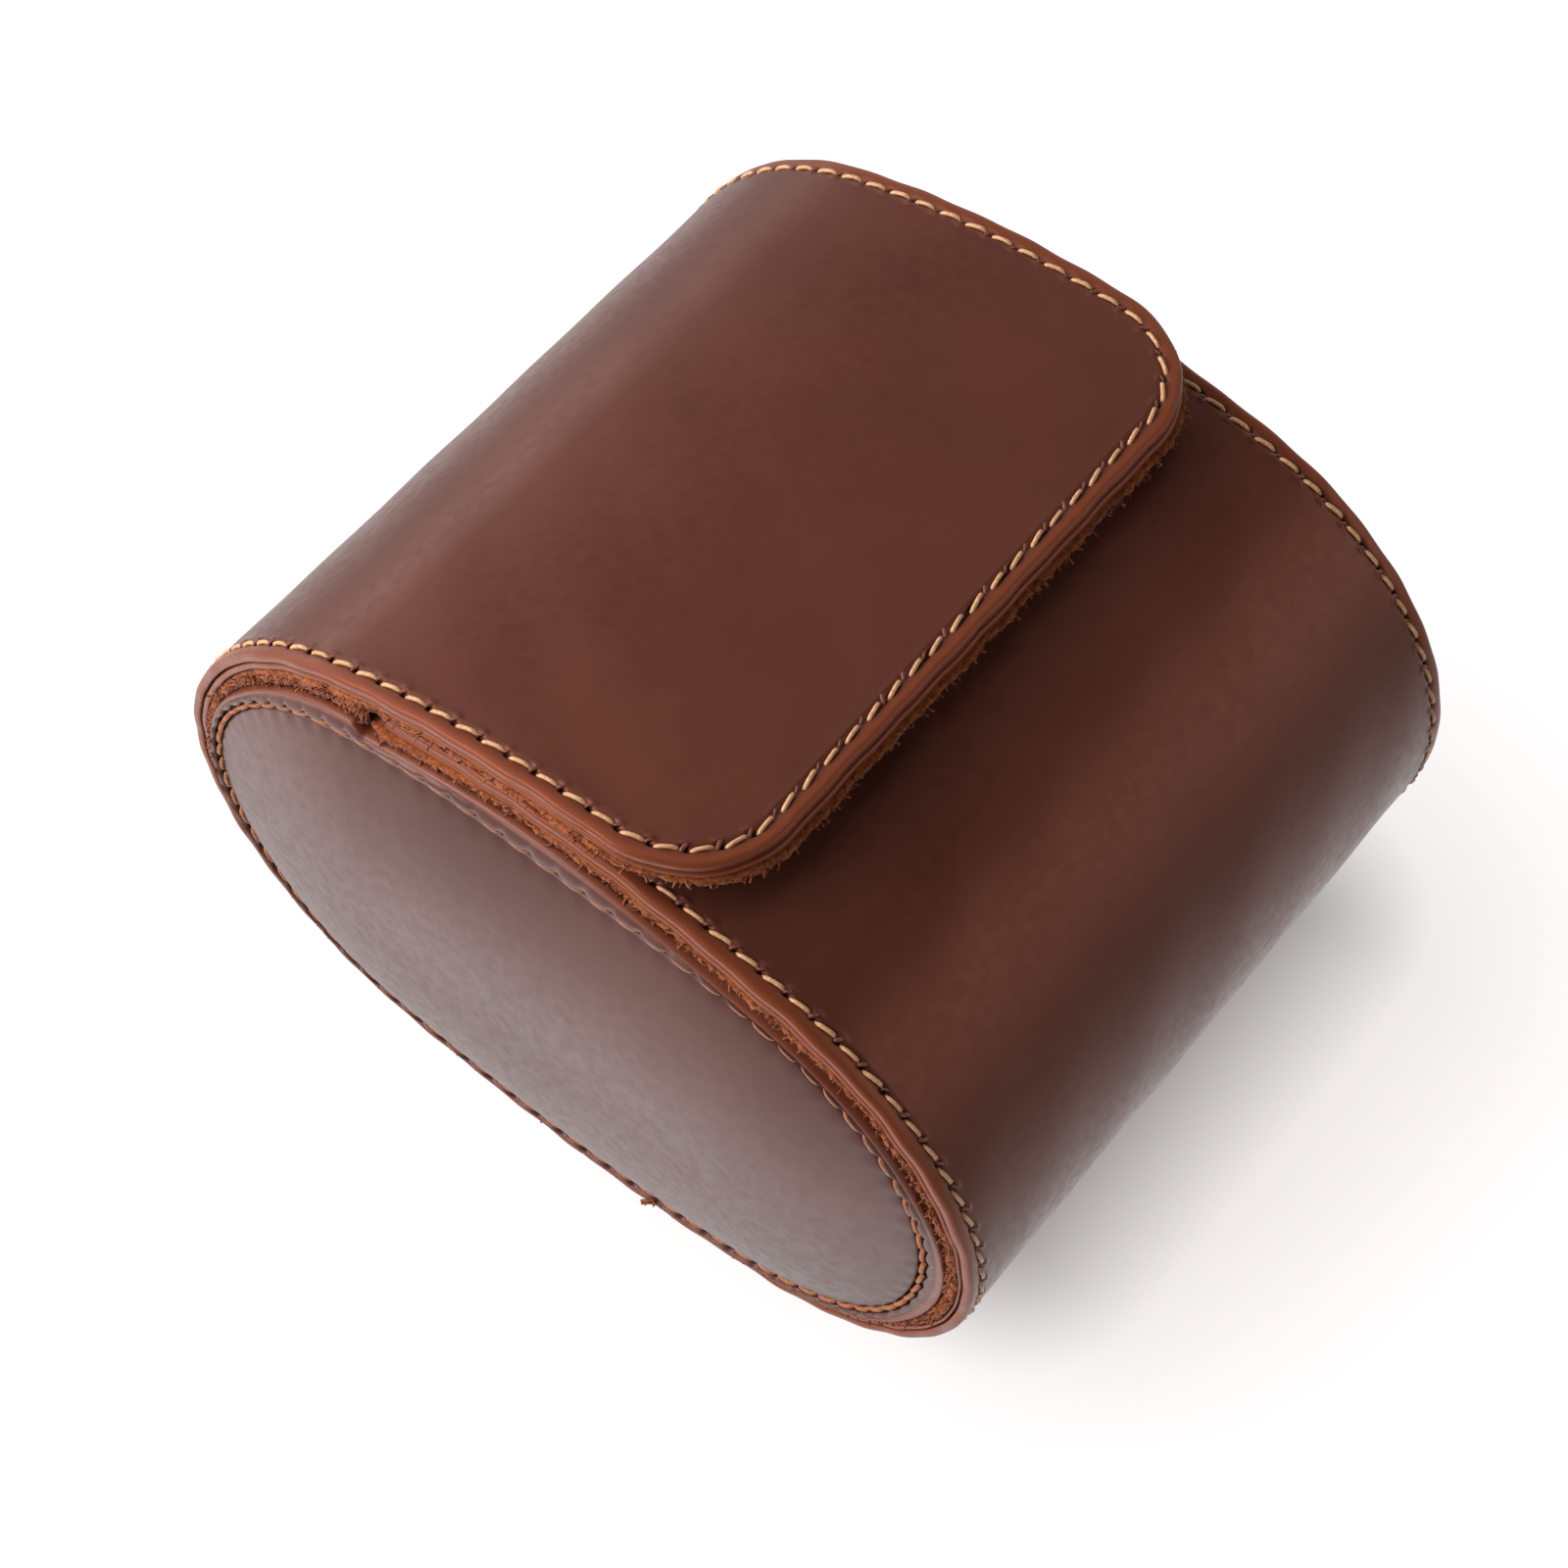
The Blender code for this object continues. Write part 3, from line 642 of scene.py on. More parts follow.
# %% [markdown]
# The thread is waxed linen, sewn by hand, so each stitch is a short fat bow that dives into two holes
# and leans a little. Geometry Nodes put one such bow on every point of a guide, and the guide's
# points carry the direction of the seam and of the face.

# %% A tree for stitches
def new_tree(name, geometry, sizes, result):
    """A tree whose named inputs are a geometry, some sizes, a seed and a finish, and its adder."""
    tree = bpy.data.node_groups.new(name, "GeometryNodeTree")
    inputs = [(geometry, "Geometry", None), *((label, "Float", size) for label, size in sizes.items()),
              ("Seed", "Int", 1), ("Finish", "Material", None)]
    for label, kind, value in inputs:
        item = tree.interface.new_socket(label, in_out="INPUT", socket_type="NodeSocket" + kind)
        if value is not None:
            item.default_value = value
    tree.interface.new_socket(result, in_out="OUTPUT", socket_type="NodeSocketGeometry")
    return tree, adder(tree), tree.nodes.new("NodeGroupInput").outputs


def strand(add, start, end, count):
    """A straight curve between two places, resampled, and where each of its points is."""
    line = add("GeometryNodeCurvePrimitiveLine", start, end)
    line = add("GeometryNodeResampleCurve", line, Count=count)
    return line, add(SPLIT, add("GeometryNodeInputPosition")).node.outputs


def swept(add, line, spot, width, sides, scale):
    """A curve moved to its final shape and given a round section that tapers by a scale."""
    line = add("GeometryNodeSetPosition", line, Position=spot)
    radius = add(MATH, width, 0.5, operation="MULTIPLY")
    ring = add("GeometryNodeCurvePrimitiveCircle", Resolution=sides, Radius=radius)
    return add("GeometryNodeCurveToMesh", line, ring, scale, Fill_Caps=True)


def planted(add, points, instance, turn, scale, material, smooth):
    """One real copy of the instance on each point, in one finish."""
    made = add("GeometryNodeInstanceOnPoints", points, Instance=instance, Rotation=turn, Scale=scale)
    made = add("GeometryNodeRealizeInstances", made)
    if smooth:
        made = add("GeometryNodeSetShadeSmooth", made)
    add("NodeGroupOutput", add("GeometryNodeSetMaterial", made, Material=material))


BOW_POINTS, BOW_SIDES, BOW_SQUARENESS, BOW_TIP = 9, 7, 4.0, 0.62


def stitch_tree():
    """Each stitch is a bow along X, bent down at its ends, then turned to the seam and the face."""
    tree, add, given = new_tree("stitches_on_points", "Points", {
        "Stitch Length": 2.45 * MM, "Thread Width": 0.50 * MM, "Dip": 0.5 * MM, "Slant": 0.16,
        "Unevenness": 0.06}, "Stitches")
    line, place = strand(add, (-0.5, 0, 0), (0.5, 0, 0), BOW_POINTS)
    size = add(MATH, add(MATH, place["X"], 2.0, operation="MULTIPLY"), operation="ABSOLUTE")
    drop = add(MATH, size, BOW_SQUARENESS, operation="POWER")
    drop = add(MATH, drop, given["Dip"], operation="MULTIPLY")
    spot = add(COMBINE, add(MATH, place["X"], given["Stitch Length"], operation="MULTIPLY"),
               Z=add(MATH, drop, -1.0, operation="MULTIPLY"))
    taper = add(RANGE, size, 0.5, 1.0, 1.0, BOW_TIP)
    bow = swept(add, line, spot, given["Thread Width"], BOW_SIDES, taper)
    out, along = (add("GeometryNodeInputNamedAttribute", name, data_type="FLOAT_VECTOR")
                  for name in ("out", "along"))
    turn = add("FunctionNodeAlignRotationToVector", axis="Z", Vector=out)
    turn = add("FunctionNodeAlignRotationToVector", turn, axis="X", pivot_axis="Z", Vector=along)
    less = add(MATH, given["Unevenness"], -1.0, operation="MULTIPLY")
    stray = add("FunctionNodeRandomValue", less, given["Unevenness"], Seed=given["Seed"])
    spin = add("FunctionNodeAxisAngleToRotation", (0, 0, 1),
               add(MATH, given["Slant"], stray, operation="ADD"))
    turn = add("FunctionNodeRotateRotation", turn, spin, rotation_space="LOCAL")
    points = add("GeometryNodeMeshToPoints", given["Points"])
    scale = add(MATH, stray, 1.0, operation="ADD")
    planted(add, points, bow, turn, scale, given["Finish"], True)
    return tree


def grown(name, guide, tree, settings):
    """Runs a tree on a guide and returns the result as a plain mesh. The guide goes."""
    modifier = guide.modifiers.new("grow", "NODES")
    modifier.node_group = tree
    keys = {item.name: item.identifier for item in tree.interface.items_tree if item.in_out == "INPUT"}
    for key, value in settings.items():
        modifier[keys[key]] = value
    sheet = bpy.context.evaluated_depsgraph_get()
    mesh = bpy.data.meshes.new_from_object(guide.evaluated_get(sheet), depsgraph=sheet)
    guide.modifiers.remove(modifier)
    bpy.data.objects.remove(guide)
    mesh.name = name
    print(name, len(mesh.polygons), "faces")
    return put(name, mesh)


def guide_of(points, along, out):
    """Loose points that carry the seam's direction and the face's."""
    mesh = bpy.data.meshes.new("guide")
    mesh.from_pydata(points.tolist(), [], [])
    for name, values in (("along", along), ("out", out)):
        unit = values / np.linalg.norm(values, axis=1, keepdims=True)
        mesh.attributes.new(name, "FLOAT_VECTOR", "POINT").data.foreach_set(
            "vector", unit.astype(np.float32).ravel())
    return put("guide", mesh)


STITCHES = stitch_tree()
print("tree with", len(STITCHES.nodes), "nodes")

# %% [markdown]
# The seam of each half follows its edge at 2 mm, from the middle of the tip outwards on both sides.

# %% Edge stitches
def seam_points(strip, inset, depth, first):
    """Places along a strip's edge, one for each stitch, with their directions."""
    path = np.arange(first, strip.whole, PITCH)
    sets = []
    for side in (-1, 1):
        here = strip.place(*strip.walk(path, side, inset), depth)
        after = strip.place(*strip.walk(path + 0.1 * MM, side, inset), depth)
        inward = strip.place(*strip.walk(path, side, inset + 0.1 * MM), depth)
        along, into = (after - here) * -side * strip.toward, inward - here
        out = np.cross(along, into)
        middle = strip.place(*strip.walk(path, side, inset), depth + 1 * MM)
        out *= np.sign(np.sum(out * (here - middle), axis=1))[:, None]
        sets.append((here, along, out))
    return [np.concatenate(parts) for parts in zip(*sets)]


def edge_stitches(name, strip, seed):
    """The gold stitches, one between each two needle holes."""
    guide = guide_of(*seam_points(strip, STITCH_INSET, -0.05 * MM, PITCH / 2))
    return grown(name, guide, STITCHES, {"Finish": gold_thread, "Seed": seed})


def edge_loops(name, strip, seed):
    """The brown under-thread, which comes up as a small loop on the inner side of each hole."""
    guide = guide_of(*seam_points(strip, STITCH_INSET + 0.28 * MM, 0.04 * MM, PITCH))
    return grown(name, guide, STITCHES, {"Finish": loop_thread, "Seed": seed, "Stitch Length": 1.0 * MM,
                                         "Thread Width": 0.42 * MM, "Dip": 0.35 * MM, "Slant": 0.75,
                                         "Unevenness": 0.25})


flap_stitches = edge_stitches("flap_stitches", flap_strip, 3)
front_stitches = edge_stitches("front_stitches", front_strip, 5)
flap_loops = edge_loops("flap_thread_loops", flap_strip, 13)
front_loops = edge_loops("front_thread_loops", front_strip, 15)

# %% [markdown]
# Loose fibres stand out of the suede's raw edge. A second tree scatters points on a narrow band
# that follows the edge and grows a bent hair on each.

# %% Suede fibres
FIBRE_BEND, FIBRE_TIP, FIBRE_SPIN = 0.45, 0.35, 3.1
FIBRE_SIZES, FIBRE_SIZE_POWER = (0.5, 1.9), 3.0


def fibre_tree():
    """Each fibre is a hair along Z that bends sideways and tapers, turned at random on its face."""
    tree, add, given = new_tree("fibres_on_an_edge", "Band", {
        "Fibre Length": 0.50 * MM, "Fibre Width": 0.16 * MM, "Density": 6e6, "Unruliness": 0.8}, "Fibres")
    points = add("GeometryNodeDistributePointsOnFaces", given["Band"], Density=given["Density"],
                 Seed=given["Seed"])
    line, place = strand(add, (0, 0, 0), (0, 0, 1), 4)
    bend = add(MATH, place["Z"], 2.0, operation="POWER")
    bend = add(MATH, bend, given["Fibre Length"], operation="MULTIPLY")
    spot = add(COMBINE, add(MATH, bend, FIBRE_BEND, operation="MULTIPLY"),
               Z=add(MATH, place["Z"], given["Fibre Length"], operation="MULTIPLY"))
    taper = add(RANGE, place["Z"], 0.0, 1.0, 1.0, FIBRE_TIP)
    hair = swept(add, line, spot, given["Fibre Width"], 3, taper)
    less = add(MATH, given["Unruliness"], -1.0, operation="MULTIPLY")
    low = add(COMBINE, less, less, -FIBRE_SPIN)
    high = add(COMBINE, given["Unruliness"], given["Unruliness"], FIBRE_SPIN)
    stray = add("FunctionNodeRandomValue", low, high, data_type="FLOAT_VECTOR", Seed=given["Seed"])
    turn = add("FunctionNodeRotateRotation", points.node.outputs["Rotation"],
               add("FunctionNodeEulerToRotation", stray), rotation_space="LOCAL")
    scale = add("FunctionNodeRandomValue", 0.0, 1.0, Seed=given["Seed"])
    scale = add(MATH, scale, FIBRE_SIZE_POWER, operation="POWER")
    scale = add(RANGE, scale, 0.0, 1.0, *FIBRE_SIZES)
    planted(add, points, hair, turn, scale, given["Finish"], False)
    return tree


FIBRES = fibre_tree()
BAND_SHARES, BAND_STEP, BAND_INSET = (0.15, 0.85), 1.5 * MM, 0.12 * MM


def edge_band(strip, overhang):
    """A narrow band of faces down the raw edge, between two shares of the suede's thickness."""
    path = np.arange(0, strip.whole, BAND_STEP)
    points, faces = [], []
    for side in (-1, 1):
        run, across = strip.walk(path, side, BAND_INSET - overhang * strip.tipness(path))
        for share in BAND_SHARES:
            points += strip.place(run, across, between(share)(run)).tolist()
    count = len(path)
    for number, side in enumerate((-1, 1)):
        first = number * 2 * count
        for i in range(count - 1):
            quad = [first + i, first + i + 1, first + count + i + 1, first + count + i]
            faces.append(quad[::-1] if side * strip.toward == 1 else quad)
    return to_mesh("band", points, faces, split_suede)


def fibres(name, strip, seed, overhang):
    """The hairs on the raw edge of one half of the strip."""
    return grown(name, edge_band(strip, overhang), FIBRES, {"Finish": split_suede, "Seed": seed})


flap_fibres = fibres("flap_suede_fibres", flap_strip, 11, FLAP_OVERHANG)
front_fibres = fibres("front_suede_fibres", front_strip, 12, FRONT_OVERHANG)

# %% [markdown]
# The end caps are cups of leather pulled over a foam pad. A thick rim stands round the edge, the
# stitches lie in a groove behind its lip, and between two stitches the padded face puffs out a little.
# Each cap is lofted from rings round the oval, given as insets and heights in millimetres.

# %% Padded end caps
CAP_OUTER, CAP_FACE, CAP_CROWN = 3.42 * MM, 0.9 * MM, 5.1 * MM
CAP_GROOVE_FAR, PAD_UNDER = 2.40 * MM, 1.65 * MM
CAP_SPAN = 0.875 * (END - CAP_OUTER) - CAP_GROOVE_FAR
CAP_PITCH, CAP_STEPS, CAP_SEAM = 3.4 * MM, 880, 1.84 * MM
CAP_BEATS = round((LENGTH - 2 * math.pi * 5.3 * MM) / CAP_PITCH)
CAP_RUNS = np.arange(CAP_STEPS) * LENGTH / CAP_STEPS
CAP_BEAT = (CAP_RUNS / LENGTH * CAP_BEATS + 0.5) % 1 - 0.5
COARSE_RUNS = CAP_RUNS[::4]
LIP_WAVE, LIP_WANDER, LIP_NOTCH, LIP_FULL = 0.12 * MM, 0.03 * MM, 0.42 * MM, 1.2 * MM
LIP_FROM, LIP_OVER, NOTCH_AT, NOTCH_WIDTH, WAVE_AT, WAVE_WIDTH = 0.45, 0.5, 1.15, 0.30, 1.22, 0.22
RIM_PRESSED, RIM_IN, RIM_OUT = 0.72, 0.9 * MM, 0.45 * MM
# How much the rim lightens outside and inside the lip (burnish, and partly a painted highlight), and how
# dark the painted shade in the gaps between stitches is.
OUTER_RIM_BURNISH_AND_HIGHLIGHT, INNER_RIM_BURNISH_AND_HIGHLIGHT, STITCH_GAP_SHADE = 0.95, 0.12, 0.9
PUFF, PUFF_OVER, FOOT_DIP, FOOT_OVER = 0.06 * MM, 1.0 * MM, 0.12 * MM, 60


def cap_ring(run, side, inset, height, wall=0.0):
    """World points round the cap at an inset from its outside and a height over the strip's end.

    A wall of 1 follows the strip over it, and 0 follows the seam.
    """
    follow = cap_dent(run) * (1 - wall) - cap_rise(run, np.array(side * HALF)) * wall
    front, up = section(run, CAP_OUTER + follow + inset)[:2]
    across = side * (HALF + height) * np.ones(len(run))
    return np.stack([across, -front, CENTRE_UP + up], -1)


def lofted(name, rings, material, flip=False):
    """A skin over rings of alike count, whose first and last ring are filled."""
    count = len(rings[0])
    here = np.arange(count)
    after = (here + 1) % count
    faces = []
    for low in range(0, (len(rings) - 1) * count, count):
        quads = np.stack([low + here, low + after, low + count + after, low + count + here], -1)
        faces += (quads[:, ::-1] if flip else quads).tolist()
    first, last = here.tolist(), (here + (len(rings) - 1) * count).tolist()
    faces += [first if flip else first[::-1], last[::-1] if flip else last]
    return to_mesh(name, np.concatenate(rings), faces, material)


RIM = [(0.0, -3.0), (0.0, -0.9), (0.0, -0.3), (0.02, 0.3), (0.08, 0.62), (0.18, 0.84), (0.30, 0.94),
       (0.41, 0.92), (0.49, 0.76), (0.56, 0.60), (0.63, 0.58), (0.70, 0.76), (0.80, 1.04), (0.93, 1.19),
       (1.06, 1.20), (1.17, 1.12), (1.26, 0.95), (1.30, 0.72), (1.32, 0.40), (1.38, 0.12), (1.55, -0.02),
       (1.80, -0.04), (2.05, 0.02), (2.22, 0.22), (2.30, 0.50)]


def rim_height(run):
    """The rim is pressed flush at the front end, where the roll was worked over its last."""
    return 1 - RIM_PRESSED * bump(run - FRONT_END, 26 * MM)


def rim_shift(run):
    """The seam wanders inwards at the front end and outwards at the back."""
    return RIM_IN * bump(run - FRONT_END, 30 * MM) - RIM_OUT * bump(run - 3 * QUARTER, 30 * MM)


def dome(share):
    """Height of the padded face, from its foot at 0 to its middle line at 1."""
    return CAP_FACE + CAP_CROWN * (1 - (1 - share) ** 2)


def cap_cover(name, side):
    """The cap's leather: the rings of its rim, in millimetres, then those of its padded face."""
    puff = np.cos(CAP_BEAT * 2 * math.pi)
    lip_wave = LIP_WAVE * puff + wander(CAP_RUNS, LIP_WANDER, 0.7)
    low, shift = rim_height(CAP_RUNS), rim_shift(CAP_RUNS)
    back = bump(CAP_RUNS - 3 * QUARTER, 38 * MM)
    gap = hump((np.abs(CAP_BEAT) - 0.5) * CAP_PITCH, 0.50 * MM)
    rings, burnish_and_painted_highlight, hole = [], [], []
    for inset, height in RIM:
        lip = min(1, max(0, (inset - LIP_FROM) / LIP_OVER))
        tall = height * MM * (low if height > 0 else 1)
        tall = tall - LIP_NOTCH * gap * low * hump(inset - NOTCH_AT, NOTCH_WIDTH)
        if 0.1 < inset < 0.93:
            tall = tall + back * (LIP_FULL * math.sin(math.pi * inset / 1.3) ** 0.6 - tall)
        at = inset * MM + shift * lip + lip_wave * hump(inset - WAVE_AT, WAVE_WIDTH)
        rings.append(cap_ring(CAP_RUNS, side, at, tall, 0 if height < -0.5 else 1 - lip))
        # The rim's lighter colour: burnish, and partly a painted highlight.
        burnish_and_painted_highlight.append(OUTER_RIM_BURNISH_AND_HIGHLIGHT - 0.65 * back if inset < 0.66 else np.full(CAP_STEPS, INNER_RIM_BURNISH_AND_HIGHLIGHT))
        # Painted shade in the groove between two stitches.
        hole.append(gap * (STITCH_GAP_SHADE if 1.2 < inset < 2.25 else 0.0))
    for share in (0.0, 0.008, 0.02, 0.035, 0.055, 0.08, *np.linspace(0.11, 1, 22)):
        at = CAP_GROOVE_FAR + CAP_SPAN * share + shift * max(0, 1 - share / 0.4)
        swell = PUFF * (puff - 0.5) * hump(share * CAP_SPAN, PUFF_OVER)
        swell = swell - FOOT_DIP * math.exp(-share * FOOT_OVER)
        rings.append(cap_ring(CAP_RUNS, side, at, dome(share) + swell))
        burnish_and_painted_highlight.append(np.zeros(CAP_STEPS))
        hole.append(np.zeros(CAP_STEPS))
    made = lofted(name, rings, cap_hide_with_painted_reflection, side == 1)
    set_values(made, "burnish_and_painted_highlight", np.concatenate(burnish_and_painted_highlight))
    set_values(made, "hole", np.concatenate(hole))
    return made


def cap_stitches(name, side, seed):
    """The darker ring of stitches in the groove behind the lip."""
    run = np.arange(CAP_BEATS) * LENGTH / CAP_BEATS
    inset, height = CAP_SEAM + rim_shift(run), 0.72 * MM * (0.35 + 0.65 * rim_height(run))
    here = cap_ring(run, side, inset, height)
    along = (cap_ring(run + 0.1 * MM, side, inset, height) - here) * side
    out = np.tile([side * 1.0, 0, 0], (CAP_BEATS, 1))
    return grown(name, guide_of(here, along, out), STITCHES,
                 {"Finish": dark_thread, "Seed": seed, "Stitch Length": 2.6 * MM, "Thread Width": 0.66 * MM,
                  "Slant": -0.06, "Dip": 0.4 * MM})


def cap_layer(name, side, material, edge, low, high):
    """A plain filling layer of a cap, with a slightly rounded edge."""
    turn = min(0.3 * MM, (high - low) / 3)
    rings = [cap_ring(COARSE_RUNS, side, edge + inwards, height) for inwards, height in
             ((turn, low), (0, low + turn), (0, high - turn), (turn, high))]
    return lofted(name, rings, material, side == 1)


def cap_pad(name, side):
    """The foam under the cap's face, which follows its dome."""
    rings = [cap_ring(COARSE_RUNS, side, inset * MM, height * MM) for inset, height in
             ((1.9, -1.15), (1.65, -1.05), (1.65, -0.80), (1.9, -0.70), (2.6, -0.55))]
    for share in np.linspace(0.05, 1, 9):
        height = dome(share) - PAD_UNDER
        rings.append(cap_ring(COARSE_RUNS, side, CAP_GROOVE_FAR + CAP_SPAN * share, height))
    return lofted(name, rings, foam, side == 1)


caps = []
for side, side_name in ((-1, "left"), (1, "right")):
    cover = cap_cover(side_name + "_cap_cover", side)
    stitches = cap_stitches(side_name + "_cap_stitches", side, 7 + side)
    pad = cap_pad(side_name + "_cap_pad", side)
    back = cap_layer(side_name + "_cap_suede", side, split_suede, 0.3 * MM, -4.5 * MM, -3.5 * MM)
    caps.append((side_name, cover, stitches, pad, back))

TUFT_RUN = 140.3 * MM
tuft_ends = np.array([TUFT_RUN - 0.5 * MM, TUFT_RUN + 0.5 * MM])
tuft_foot = np.concatenate([cap_ring(tuft_ends, -1, inset * MM, 1.1 * MM) for inset in (0.9, 1.5)])
tuft = to_mesh("tuft_foot", tuft_foot, [(2, 3, 1, 0)], dark_thread)
tuft = grown("left_cap_thread_end", tuft, FIBRES,
             {"Finish": dark_thread, "Seed": 4, "Fibre Length": 0.95 * MM, "Fibre Width": 0.28 * MM,
              "Density": 1.6e7, "Unruliness": 1.1})

# %% [markdown]
# The watch cushion is a stuffed suede sleeve with a sewn-in end on each side. It starts slightly too
# small, with a step in where each end is sewn, and the cloth solver blows it up by less than 1 mm.

# %% Watch cushion
cushion_low, cushion_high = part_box("cushion_cover")
end_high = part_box("cushion_end_right")[1]
CUSHION_MIDDLE = (cushion_low + cushion_high) / 2
CUSHION_HALF = Vector((end_high.x, *((cushion_high - cushion_low) / 2)[1:]))
CUSHION_ROUNDNESS, DEPTH_DRAW, HEIGHT_DRAW = 0.80, 0.15, 0.21
BLOW_FRAMES, BLOW_PRESSURE = 20, 4
print("cushion half size", [round(v / MM, 1) for v in CUSHION_HALF])


def cushion_form(name, shrink):
    """A closed, crowned oval pillow that draws in towards both ends, and more where they are sewn in."""
    turns = np.linspace(0, 2 * math.pi, 97)[:-1]
    across, up = (np.sign(wave) * np.abs(wave) ** CUSHION_ROUNDNESS
                  for wave in (np.cos(turns), np.sin(turns)))
    rings = []
    for share in (-1, -0.995, *np.linspace(-0.985, 0.985, 41), 0.995, 1):
        nose = 1.0 if abs(share) < 0.98 else 0.985 if abs(share) < 0.99 else 0.955
        depth = (CUSHION_HALF.y - shrink) * (1 - DEPTH_DRAW * share ** 4) * nose
        height = (CUSHION_HALF.z - shrink) * (1 - HEIGHT_DRAW * share ** 4) * nose
        rings.append(np.stack([np.full(len(turns), share * (CUSHION_HALF.x - shrink)),
                               across * depth + CUSHION_MIDDLE.y, up * height + CUSHION_MIDDLE.z], -1))
    return lofted(name, rings, cushion_suede)


def inflate(made, cap):
    """Blows a closed mesh up with the cloth solver, and lets no point move further than the cap."""
    before = np.array([v.co for v in made.data.vertices])
    cloth = made.modifiers.new("cloth", "CLOTH")
    cloth.settings.use_pressure = True
    cloth.settings.uniform_pressure_force = BLOW_PRESSURE
    cloth.settings.effector_weights.gravity = 0
    scene = bpy.context.scene
    cloth.point_cache.frame_start, cloth.point_cache.frame_end = 1, BLOW_FRAMES
    for number in range(1, BLOW_FRAMES + 1):
        scene.frame_set(number)
    sheet = bpy.context.evaluated_depsgraph_get()
    after = np.array([v.co for v in made.evaluated_get(sheet).data.vertices])
    made.modifiers.remove(cloth)
    scene.frame_set(1)
    move = after - before
    size = np.linalg.norm(move, axis=1, keepdims=True)
    move *= np.minimum(1, cap / np.maximum(size, 1e-9))
    made.data.vertices.foreach_set("co", (before + move).astype(np.float32).ravel())
    made.data.update()
    print(made.name, "moved up to %.2f mm" % (min(size.max(), cap) / MM))


cushion = cushion_form("watch_cushion", 0.9 * MM)
inflate(cushion, 0.8 * MM)
finer = cushion.modifiers.new("finer", "SUBSURF")
finer.levels = finer.render_levels = 1
filling = cushion_form("cushion_filling", 2.2 * MM)
filling.data.materials[0] = foam

# %% [markdown]
# The CAD parts that the new pieces replace are hidden. The pieces of the caps and the cushion are tied to
# their CAD bodies. The leather crosses the two bends of the strip; the strip's pieces stay where they are
# made and ride no body.


def tied(made, body, slot, *nodes):
    """A piece that rides one body or, on the strip's panels, stays in place and rides none; the CAD parts
    it replaces are hidden.
    """
    if body in ("flap", "front_panel"):
        front, up = section(FRONT_HINGE)[:2]
        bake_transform(made)
    else:
        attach(made, body)
    if nodes:
        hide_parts(*nodes)


tied(flap_leather, "flap", "waxed_leather", "flap_leather", "body_leather")
tied(flap_second, "flap", "burnished_edge", "flap_backing", "body_backing")
tied(flap_lining, "flap", "suede", "flap_lining", "body_lining")
tied(flap_fibres, "flap", "suede")
tied(flap_stitches, "flap", "waxed_thread", "flap_thread", "body_thread_left", "body_thread_right")
tied(flap_loops, "flap", "brown_thread")
tied(front_loops, "front_panel", "brown_thread")
tied(front_leather, "front_panel", "waxed_leather", "front_leather")
tied(front_second, "front_panel", "burnished_edge", "front_backing")
tied(front_lining, "front_panel", "suede", "front_lining")
tied(front_fibres, "front_panel", "suede")
tied(front_stitches, "front_panel", "waxed_thread", "front_thread")
for side_name, cover, stitches, pad, back in caps:
    for made, slot, part in ((cover, "cap_leather", "_leather"), (stitches, "brown_thread", "_thread"),
                             (pad, "foam", "_foam"), (back, "suede", "_lining")):
        tied(made, "case", slot, side_name + "_cap" + part)
tied(tuft, "case", "brown_thread")
tied(cushion, "cushion", "cushion_suede", "cushion_cover", "cushion_end_left", "cushion_end_right")
tied(filling, "cushion", "foam", "cushion_foam")
for name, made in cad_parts.items():
    if not made.hide_render:
        made.data.materials.clear()
        made.data.materials.append(nickel if "magnet" in name else greyboard)
        print("kept", name)

# %% [markdown]
# The studio, fitted to the photograph's own tones: a strong soft window at the back left, weaker ones
# behind and above, and a little fill from the front right. The paper near the roll and a pale wall to
# the right and the front are what the waxed leather mirrors, so only glossy rays see those bright.

# %% Floor and light
FLOOR_CORNERS = (-3, -3), (3, -3), (3, 3), (-3, 3)
ROLL_MIDDLE = Vector((0, 0, 40 * MM))
# The glow's faint pink is painted bounce light from the leather, seen in the roll's shadow.
PAPER_WHITE, GLOW_TINT_AS_PAINTED_BOUNCE, GLOW_LEVEL = (0.80, 0.80, 0.80, 1), (1, 0.95, 0.95, 1), 1.25
SHADE_MIDDLE, SHADE_HALF = (0.0075, -0.0075, 0), (0.0275, 0.0375, 0)
WALL_LEVEL, CEILING_LEVEL, FILL_LEVEL = 1.15, 1.2, 0.08
LAMPS = {"window_back_left": ((-0.7, 0.5, 0.5), (0.7, 0.7), 10.7),
         "back": ((-0.15, 0.75, 0.60), (0.9, 0.6), 3.1),
         "back_low": ((-0.1, 0.95, 0.25), (1.2, 0.3), 1.8),
         "back_high": ((0.0, 0.5, 0.9), (0.7, 0.7), 1.9),
         "fill_front_right": ((0.45, -0.75, 0.55), (0.6, 0.6), 1.3)}


